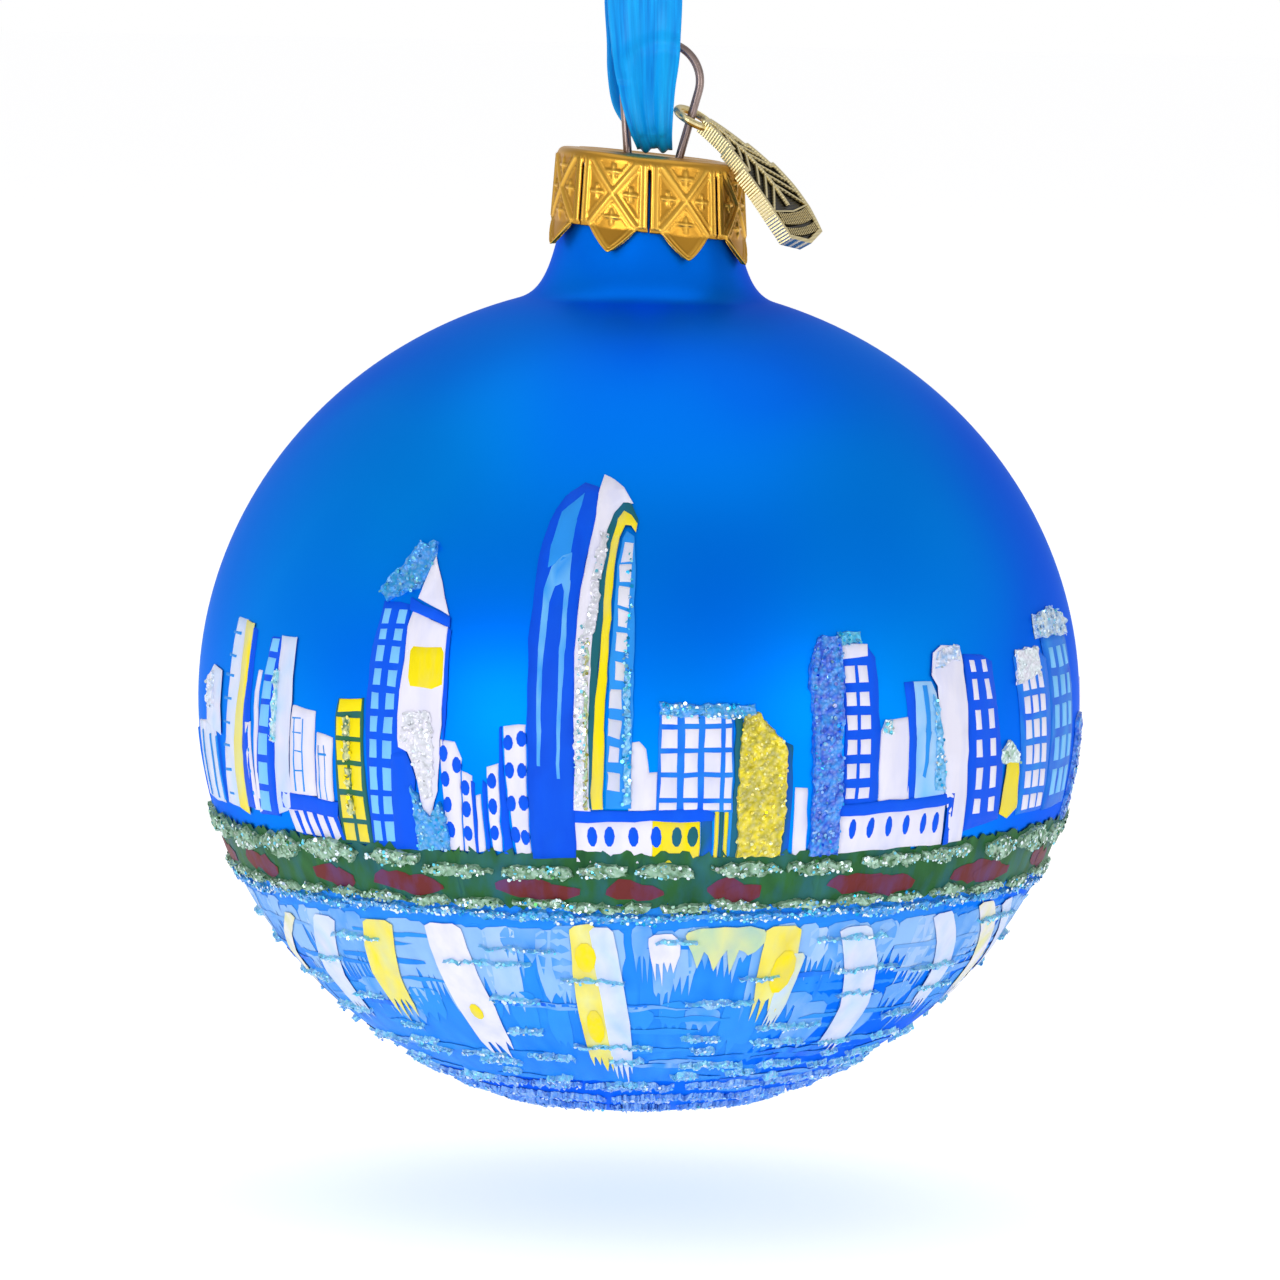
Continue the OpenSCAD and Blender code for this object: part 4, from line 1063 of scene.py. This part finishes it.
windows("white", [(59.6, 61.4, 57.6, 59.0), (61.9, 63.6, 59.6, 61.2), (64.1, 65.6, 62.0, 63.4)],
        [(-8.4, -7.0), (-6.4, -4.8), (-4.2, -2.4), (-1.8, 0.0), (0.6, 2.2), (2.7, 4.2)])
frosting("white", "frost", [(56.3, 3.4), (62.8, 3.9), (62.7, 6.5), (57, 6.4)], crumb=0.14, count=22, charts=("frost",),
         level=1)
daub("azure", [(66.9, -8.9), (76.5, -8.9), (75.6, 0), (74.2, 6.9), (64.6, 7.2), (65.6, 0)], second="navy")
windows("sky", [(68.2, 70.0, 66.4, 68.0), (71.0, 73.0, 69.4, 71.2), (74.0, 75.6, 72.4, 73.6)],
        [(-7.6, -5.2), (-4.4, -2.2), (-1.4, 0.8), (1.5, 3.5), (4.2, 6.2)])
frosting("frost", "mist", [(63.0, 7.2), (74.2, 6.9), (75.8, 8.4), (70, 9.8), (63.4, 9.4)], crumb=0.26, count=60,
         charts=("frost", "aqua", "mist"))

# %% [markdown]
# ### Round the back
#
# The painter carries the same city right round the ball, so the back has the same kinds of house in another
# order. A fixed cycle through six kinds picks each one, and a sine sets their heights.

# %% Back of the city
for i in range(15):
    left = 79.0 if i == 0 else 90 + (i - 1) * 13.2
    right, top = (left + 8.5 if i == 0 else left + 10), 2 + 5 * math.sin(math.radians((i - 1) * 77))
    kind = ("lattice", "dots", "crust", "tower", "plain", "yellow")[(i * 5 + 2) % 6]
    floors = [(z, z + 1.5) for z in [-9.6 + 2.35 * k for k in range(int((top + 9) / 2.35))]]
    half_way = (left + right) / 2
    if kind == "lattice":
        block("azure", left, right, -10.8, top, second="blue")
        windows("white", [(left + w, left + w + 1.8, left + w, left + w + 1.8) for w in (0.8, 3.4, 6.2)], floors)
    elif kind == "dots":
        block("white", left, right - 3, -10.8, top)
        block("blue", right - 3, right, -10.8, top - 2.6, second="navy")
        for low, high in floors:
            for az in (left + 1.4, left + 4.4):
                dot("blue", az, (low + high) / 2, 0.45, 0.75, level=1)
    elif kind == "crust":
        frosting("navy", "azure", [(left, -10.8), (left + 4.6, -10.8), (left + 4.2, top + 2), (left + 0.6, top + 1.4)],
                 count=90, charts=("azure", "turquoise", "aqua"))
        block("white", left + 5, right - 1.4, -10.8, top - 1.5, second="pale")
        block("yellow", left + 6, left + 8, -4.5, -2.2, level=1)
    elif kind == "tower":
        daub("blue", [(left, -10.8), (left + 4.4, -10.8), (left + 4.6, top + 6), (left + 0.6, top + 4)], second="navy")
        daub("white", [(left + 4.4, -10.8), (right - 2, -10.8), (right - 2.6, top + 2), (left + 4.8, top + 6)])
        windows("sky", [(left + 0.6, left + 1.8, left + 1.0, left + 2.0), (left + 2.4, left + 3.8, left + 2.7, left + 3.8)],
                floors)
        frosting("turquoise", "aqua", [(left + 0.2, top + 3.6), (left + 4.9, top + 5.6), (left + 4.9, top + 7),
                                       (left + 0.2, top + 5)], count=40, charts=("turquoise", "aqua"))
    elif kind == "plain":
        block("white", left, left + 4.6, -10.8, top, second="pale")
        daub("sky", [(left + 5, -10.8), (right, -10.8), (right, top - 2), (left + 5.4, top - 0.6)], second="pale")
        daub("azure", [(left + 6.4, -9.5), (left + 7.2, -9.5), (left + 7.4, top - 2.4), (left + 6.9, top - 2.4)], level=1)
        daub("blue", [(left - 0.4, -7.4), (right + 0.4, -7.2), (right + 0.4, -6.1), (left - 0.4, -6.3)], level=2)
    else:
        block("teal", left, right - 4.6, -10.8, top, second="leaf")
        windows("yellow", [(left + 0.5, left + 2.4, left + 0.5, left + 2.4), (left + 3, left + 4.9, left + 3, left + 4.9)],
                floors)
        block("white", right - 4.2, right, -10.8, top - 3)
        for z in (-9, -6.6, -4.2):
            dot("blue", right - 2, z, 0.45, 0.8, level=1)

# %% [markdown]
# ## Shore and water
#
# A dark green bank runs right round under the city, dabbed with brick red and thick with clumps of pale glitter.
# Below it a blue line of turquoise glitter marks the water's edge. The water is thin paint over the lacquer:
# the lights of the city are pulled down in white and yellow strokes that lean together towards the bottom of
# the ball, with broken rows of glitter across them.

# %% Shore
for left in range(-180, 180, 12):
    daub("pine", ragged(left - 0.5, left + 12.5, -15.3, -10.3, rough=0.42, step=0.7), second="leaf", lift=0.26, level=4,
         rim=0)
brick_spots = [(-68, -58), (-49, -41), (-37.5, -26.5), (-19, -7.5), (-4, 3.5), (9, 16.5), (26, 40), (47, 61),
               (68, 77)] + [(az, az + rng.uniform(8, 13)) for az in range(88, 285, 17)]
for left, right in brick_spots:
    for shift in (0.0, 0.35):
        span = right - left
        daub("brick", ragged(left + shift * span, left + (shift + 0.65) * span, -14.5 - shift, -12.6 - shift, rough=0.25,
                             taper=True), level=5 + shift, rim=0, second="brick")
az = -180.0
while az < 178:
    wide, z = rng.uniform(5.0, 10.5), -11.4 + rng.uniform(-0.35, 0.35) - 0.6 * (-30 < az < 30)
    heavy = 0.5 if abs(az) > 44 else 0.0
    frosting("mint", "leaf", ragged(az, az + wide, z - 0.75 - heavy * 0.6, z + 0.6 + heavy, rough=0.22, step=1.2, taper=True),
             crumb=0.24, count=int(wide * (5 + 5 * heavy)), charts=("mint", "leaf", "frost", "aqua"), level=2, lift=0.2)
    az += wide + rng.uniform(0.2, 3.6) * (1 - heavy)
az = -180.0
while az < 178:
    wide, z = rng.uniform(4.5, 9.0), -15.2 + rng.uniform(-0.2, 0.2)
    frosting("leaf", "mint", ragged(az, az + wide, z - 0.5, z + 0.45, rough=0.18, step=1.2, taper=True), crumb=0.22,
             count=int(wide * 4), charts=("mint", "leaf", "frost", "turquoise"), level=2, lift=0.2)
    az += wide * rng.uniform(0.85, 1.3)

# %% Water's edge
for left in range(-180, 180, 15):
    daub("azure", ragged(left - 0.5, left + 15.5, -17.6, -15.4, rough=0.15, step=2.4), second="water", rim=0, level=0)
    daub("water", ragged(left - 0.4, left + 15.4, -33.5, -17.4, rough=0.15, step=2.4), second="azure", rim=0, level=0)
az = -180.0
while az < 178:
    wide, z = rng.uniform(5.0, 11.0), -16.25 + rng.uniform(-0.15, 0.15)
    frosting("turquoise", "azure", ragged(az, az + wide, z - 0.42, z + 0.42, rough=0.15, step=1.3, taper=True),
             crumb=0.22, count=int(wide * 4), charts=("turquoise", "aqua", "frost"), level=1)
    az += wide * rng.uniform(0.8, 1.15)

# %% Strokes on the water


def across_at(z, shift):
    """The azimuth that a distance in mm takes up at height z, where the ball is narrower."""
    return shift / (BALL_A * math.sqrt(1 - (z / BALL_C) ** 2) * math.radians(1))


def stroke(paint, top_az, top_z, foot_az, foot_z, wide, second=None, level=2, bristles=4, split=2.2):
    """A brush stroke pulled down the ball. wide is in mm, and the brush leaves thin bristle ends at its foot, up to
    split mm long."""
    points = [(top_az - across_at(top_z, wide * 0.48), top_z - 0.45), (top_az - across_at(top_z, wide * 0.3), top_z - 0.1),
              (top_az + across_at(top_z, wide * 0.3), top_z), (top_az + across_at(top_z, wide * 0.5), top_z - 0.4)]
    sides = [(share, top_az + (foot_az - top_az) * share, top_z + (foot_z + split - top_z) * share)
             for share in (0.35, 0.7)]
    points += [(az + across_at(z, wide * rng.uniform(0.48, 0.54)), z) for _, az, z in sides]
    lean = (foot_az - top_az) / (foot_z - top_z)
    for k in range(bristles):
        shift = wide * (0.44 - 0.88 * (k + 0.5) / bristles)
        thin, valley, tip = wide / bristles * rng.uniform(0.14, 0.26), foot_z + split * rng.uniform(0.7, 1.1), foot_z + split * rng.uniform(-0.2, 0.7)
        for side, z in ((thin * 1.6, valley), (0.0, tip), (-thin * 1.6, valley)):
            points.append((foot_az + lean * (z - foot_z) + across_at(z, shift * (0.94 if z == tip else 1.0) + side), z))
    points += [(az - across_at(z, wide * rng.uniform(0.48, 0.54)), z) for _, az, z in sides[::-1]]
    daub(paint, points, level=level, grain=1.3, second=second, wobble=0.1, rim=0)


for k in range(120):
    az, top = -180 + k * 3 + rng.uniform(-1, 1), -17.0 - rng.uniform(0, 0.8)
    foot_z = -20.5 - rng.uniform(0, 6.5)
    stroke(rng.choice(("mist", "mist", "azure", "pale", "azure")), az, top, az + (az / 30 if abs(az) < 80 else 0),
           foot_z, rng.uniform(1.6, 3.6), "mist", level=1, bristles=3, split=2.6)
for k in range(60):
    az, top = -180 + k * 6 + rng.uniform(-2, 2), -23.5 - rng.uniform(0, 2)
    stroke(rng.choice(("mist", "azure", "azure")), az, top, az + (az / 25 if abs(az) < 80 else 0), top - rng.uniform(3, 6),
           rng.uniform(1.8, 3.8), "azure", level=1, bristles=3, split=1.8)
for k in range(90):
    az, z = -180 + rng.uniform(0, 360), -18.6 - rng.uniform(0, 16.5)
    wide = rng.uniform(10, 26)
    daub(rng.choice(("water", "azure", "blue", "mist")), ragged(az, az + wide, z - 0.32, z + 0.22, rough=0.12, step=3.2,
                                                               taper=True), second="azure", level=2, rim=0)
front_strokes = [
    ("yellow", -7.6, -17.0, -7.1, -32.9, 2.5, "straw"), ("white", -5.0, -17.2, -2.6, -33.4, 2.2, "pale"),
    ("white", -28.4, -17.4, -27.9, -31.4, 3.9, "white"), ("straw", -39.8, -17.6, -44.8, -27.8, 3.7, "yellow"),
    ("white", -51.4, -17.9, -61.0, -29.0, 3.4, "pale"), ("straw", -61.6, -18.4, -76.0, -27.0, 2.2, "white"),
    ("white", 3.6, -17.8, 4.2, -22.9, 2.7, "white"), ("straw", 12.4, -17.2, 12.6, -21.6, 7.2, "mint"),
    ("yellow", 20.8, -17.3, 21.6, -26.8, 3.5, "straw"), ("straw", 24.0, -20.0, 23.4, -28.6, 1.6, "pale"),
    ("white", 32.4, -17.7, 42.6, -31.6, 3.5, "pale"), ("white", 48.8, -17.2, 60.0, -28.2, 3.0, "pale"),
    ("straw", 59.4, -16.9, 75.0, -28.0, 3.2, "white"), ("white", 67.0, -17.2, 84.0, -29.0, 2.4, "pale")]
for coat, (paint, top_az, top_z, foot_az, foot_z, wide, second) in enumerate(front_strokes):
    stroke(paint, top_az, top_z, foot_az, foot_z, wide, second, level=4 + 0.3 * (coat % 2))
for az, z, wide, high in ((-28.2, -26.2, 0.85, 0.8), (-7.5, -20.2, 1.1, 1.5), (-7.2, -27.2, 1.1, 1.8), (22.3, -21.8, 1.4, 2.2)):
    dot("yellow", az, z, wide, high, level=5, rim=0)
for k in range(17):
    az = 92 + k * 10.6 + rng.uniform(-2, 2)
    stroke(rng.choice(("white", "white", "straw", "yellow", "pale")), az, -17.4 - rng.uniform(0, 0.8),
           az + rng.uniform(-3, 3), -28.5 - rng.uniform(0, 3.5), rng.uniform(2.2, 4), rng.choice(("pale", "white")), level=4)

# %% Glitter on the ripples
for row, z in enumerate((-19.2, -21.8, -24.8, -27.6, -29.9, -31.6, -33.0)):
    az = -180.0 + rng.uniform(0, 9)
    while az < 176:
        wide, drop, thick = rng.uniform(4, 15), rng.uniform(-0.9, 0.9), rng.uniform(0.14, 0.3)
        frosting("mist", "aqua", ragged(az, az + wide, z + drop - thick, z + drop + thick, rough=0.14, step=1.3, taper=True),
                 crumb=0.2, count=int(wide * 1.5), charts=("frost", "aqua", "sky"), level=4, lift=0.05)
        az += wide + rng.uniform(3, 26 if row < 4 else 8)
for z in (-34.0, -35.6, -37.0):
    az = -180.0
    while az < 178:
        wide = rng.uniform(12, 26)
        frosting("mist", "azure", ragged(az, az + wide, z - 0.28, z + 0.3, rough=0.14, step=2.2, taper=True), crumb=0.24,
                 count=int(wide * 1.2), charts=("frost", "sky", "aqua"), level=2, lift=0.1)
        az += wide * rng.uniform(0.8, 1.15)
print("paint faces", len(enamel["faces"]), "crust faces", len(crust["faces"]), "flakes", len(flakes["faces"]))

# %% [markdown]
# ## Enamel, glitter glue and flakes
#
# All daubs share one enamel: its colour is stored on the points, as the painter's palette, and the material
# adds what every enamel has, brush marks and a soft gloss. The glue crust is rougher and glints, and the flakes
# are cut from metallised film, so they are small mirrors of their own colour.

# %% Painted pieces


def palette_finish(name, **sockets):
    material, tree, shader = new_finish(name, "#ffffff", **sockets)
    paint = add(tree, "ShaderNodeAttribute", {"attribute_name": "paint"})
    at = add(tree, "ShaderNodeTexCoord")
    return material, tree, shader, paint, at


def painted(name, pile, finish, node_name):
    mesh = bpy.data.meshes.new(name)
    mesh.from_pydata(pile["points"], [], pile["faces"])
    layer = mesh.attributes.new("paint", "FLOAT_COLOR", "POINT")
    layer.data.foreach_set("color", [c for rgba in pile["paint"] for c in rgba])
    mesh.materials.append(finish)
    piece = bpy.data.objects.new(name, mesh)
    bpy.context.scene.collection.objects.link(piece)
    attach(piece, "globe")
    if node_name:
        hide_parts(node_name)
    print(name, len(mesh.polygons), "faces")
    return piece


enamel_finish, enamel_tree, enamel_shader, enamel_paint, enamel_at = palette_finish(
    "brushed_enamel", Roughness=0.5, Specular_IOR_Level=0.1)
# Brush marks are about 0.3 mm apart and run mostly up and down.
brush_map = add(enamel_tree, "ShaderNodeMapping", {"Scale": (1.0, 1.0, 0.2)}, {"Vector": (enamel_at, "Object")})
brush = add(enamel_tree, "ShaderNodeTexNoise", {"Scale": 1600.0, "Detail": 3.0}, {"Vector": (brush_map, 0)})
thin = add(enamel_tree, "ShaderNodeTexNoise", {"Scale": 520.0, "Detail": 4.0}, {"Vector": (brush_map, 0)})
thin_share = add(enamel_tree, "ShaderNodeMapRange", {"From Min": 0.42, "From Max": 0.8, "To Min": 0.0, "To Max": 0.2},
                 {"Value": (thin, 0)})
enamel_colour = blend_colours(enamel_tree, (thin_share, 0), (enamel_paint, "Color"), "#1a74e8")
enamel_tree.links.new(enamel_colour[0].outputs[2], enamel_shader.inputs["Base Color"])
roughen(enamel_tree, enamel_shader, (brush, 0), 0.18, 0.0001)

crust_finish, crust_tree, crust_shader, crust_paint, crust_at = palette_finish(
    "glitter_in_clear_glue", Roughness=0.3, Metallic=0.25, Coat_Weight=0.3, Coat_Roughness=0.1)
grit = add(crust_tree, "ShaderNodeTexVoronoi", {"Scale": 2600.0}, {"Vector": (crust_at, "Object")})
grit_share = add(crust_tree, "ShaderNodeMapRange", {"From Min": 0.15, "From Max": 0.7, "To Min": 0.14, "To Max": 0.0},
                 {"Value": (grit, "Distance")})
crust_colour = blend_colours(crust_tree, (grit_share, 0), (crust_paint, "Color"), "#f3fbff")
crust_tree.links.new(crust_colour[0].outputs[2], crust_shader.inputs["Base Color"])
roughen(crust_tree, crust_shader, (grit, "Distance"), 0.6, 0.0002)

flake_finish, flake_tree, flake_shader, flake_paint, flake_at = palette_finish(
    "metallised_film", Roughness=0.16, Metallic=0.85)
film = add(flake_tree, "ShaderNodeTexNoise", {"Scale": 700.0}, {"Vector": (flake_at, "Object")})
film_share = add(flake_tree, "ShaderNodeMapRange", {"From Min": 0.45, "From Max": 0.75, "To Max": 0.5}, {"Value": (film, 0)})
film_colour = blend_colours(flake_tree, (film_share, 0), (flake_paint, "Color"), "#ffffff")
flake_tree.links.new(film_colour[0].outputs[2], flake_shader.inputs["Base Color"])

city = painted("painted_city_and_water", enamel, enamel_finish, "skyline_relief")
glitter = painted("glitter_crust", crust, crust_finish, "shoreline_relief")
film_flakes = painted("glitter_flakes", flakes, flake_finish, "water_relief")
city.data.shade_smooth()
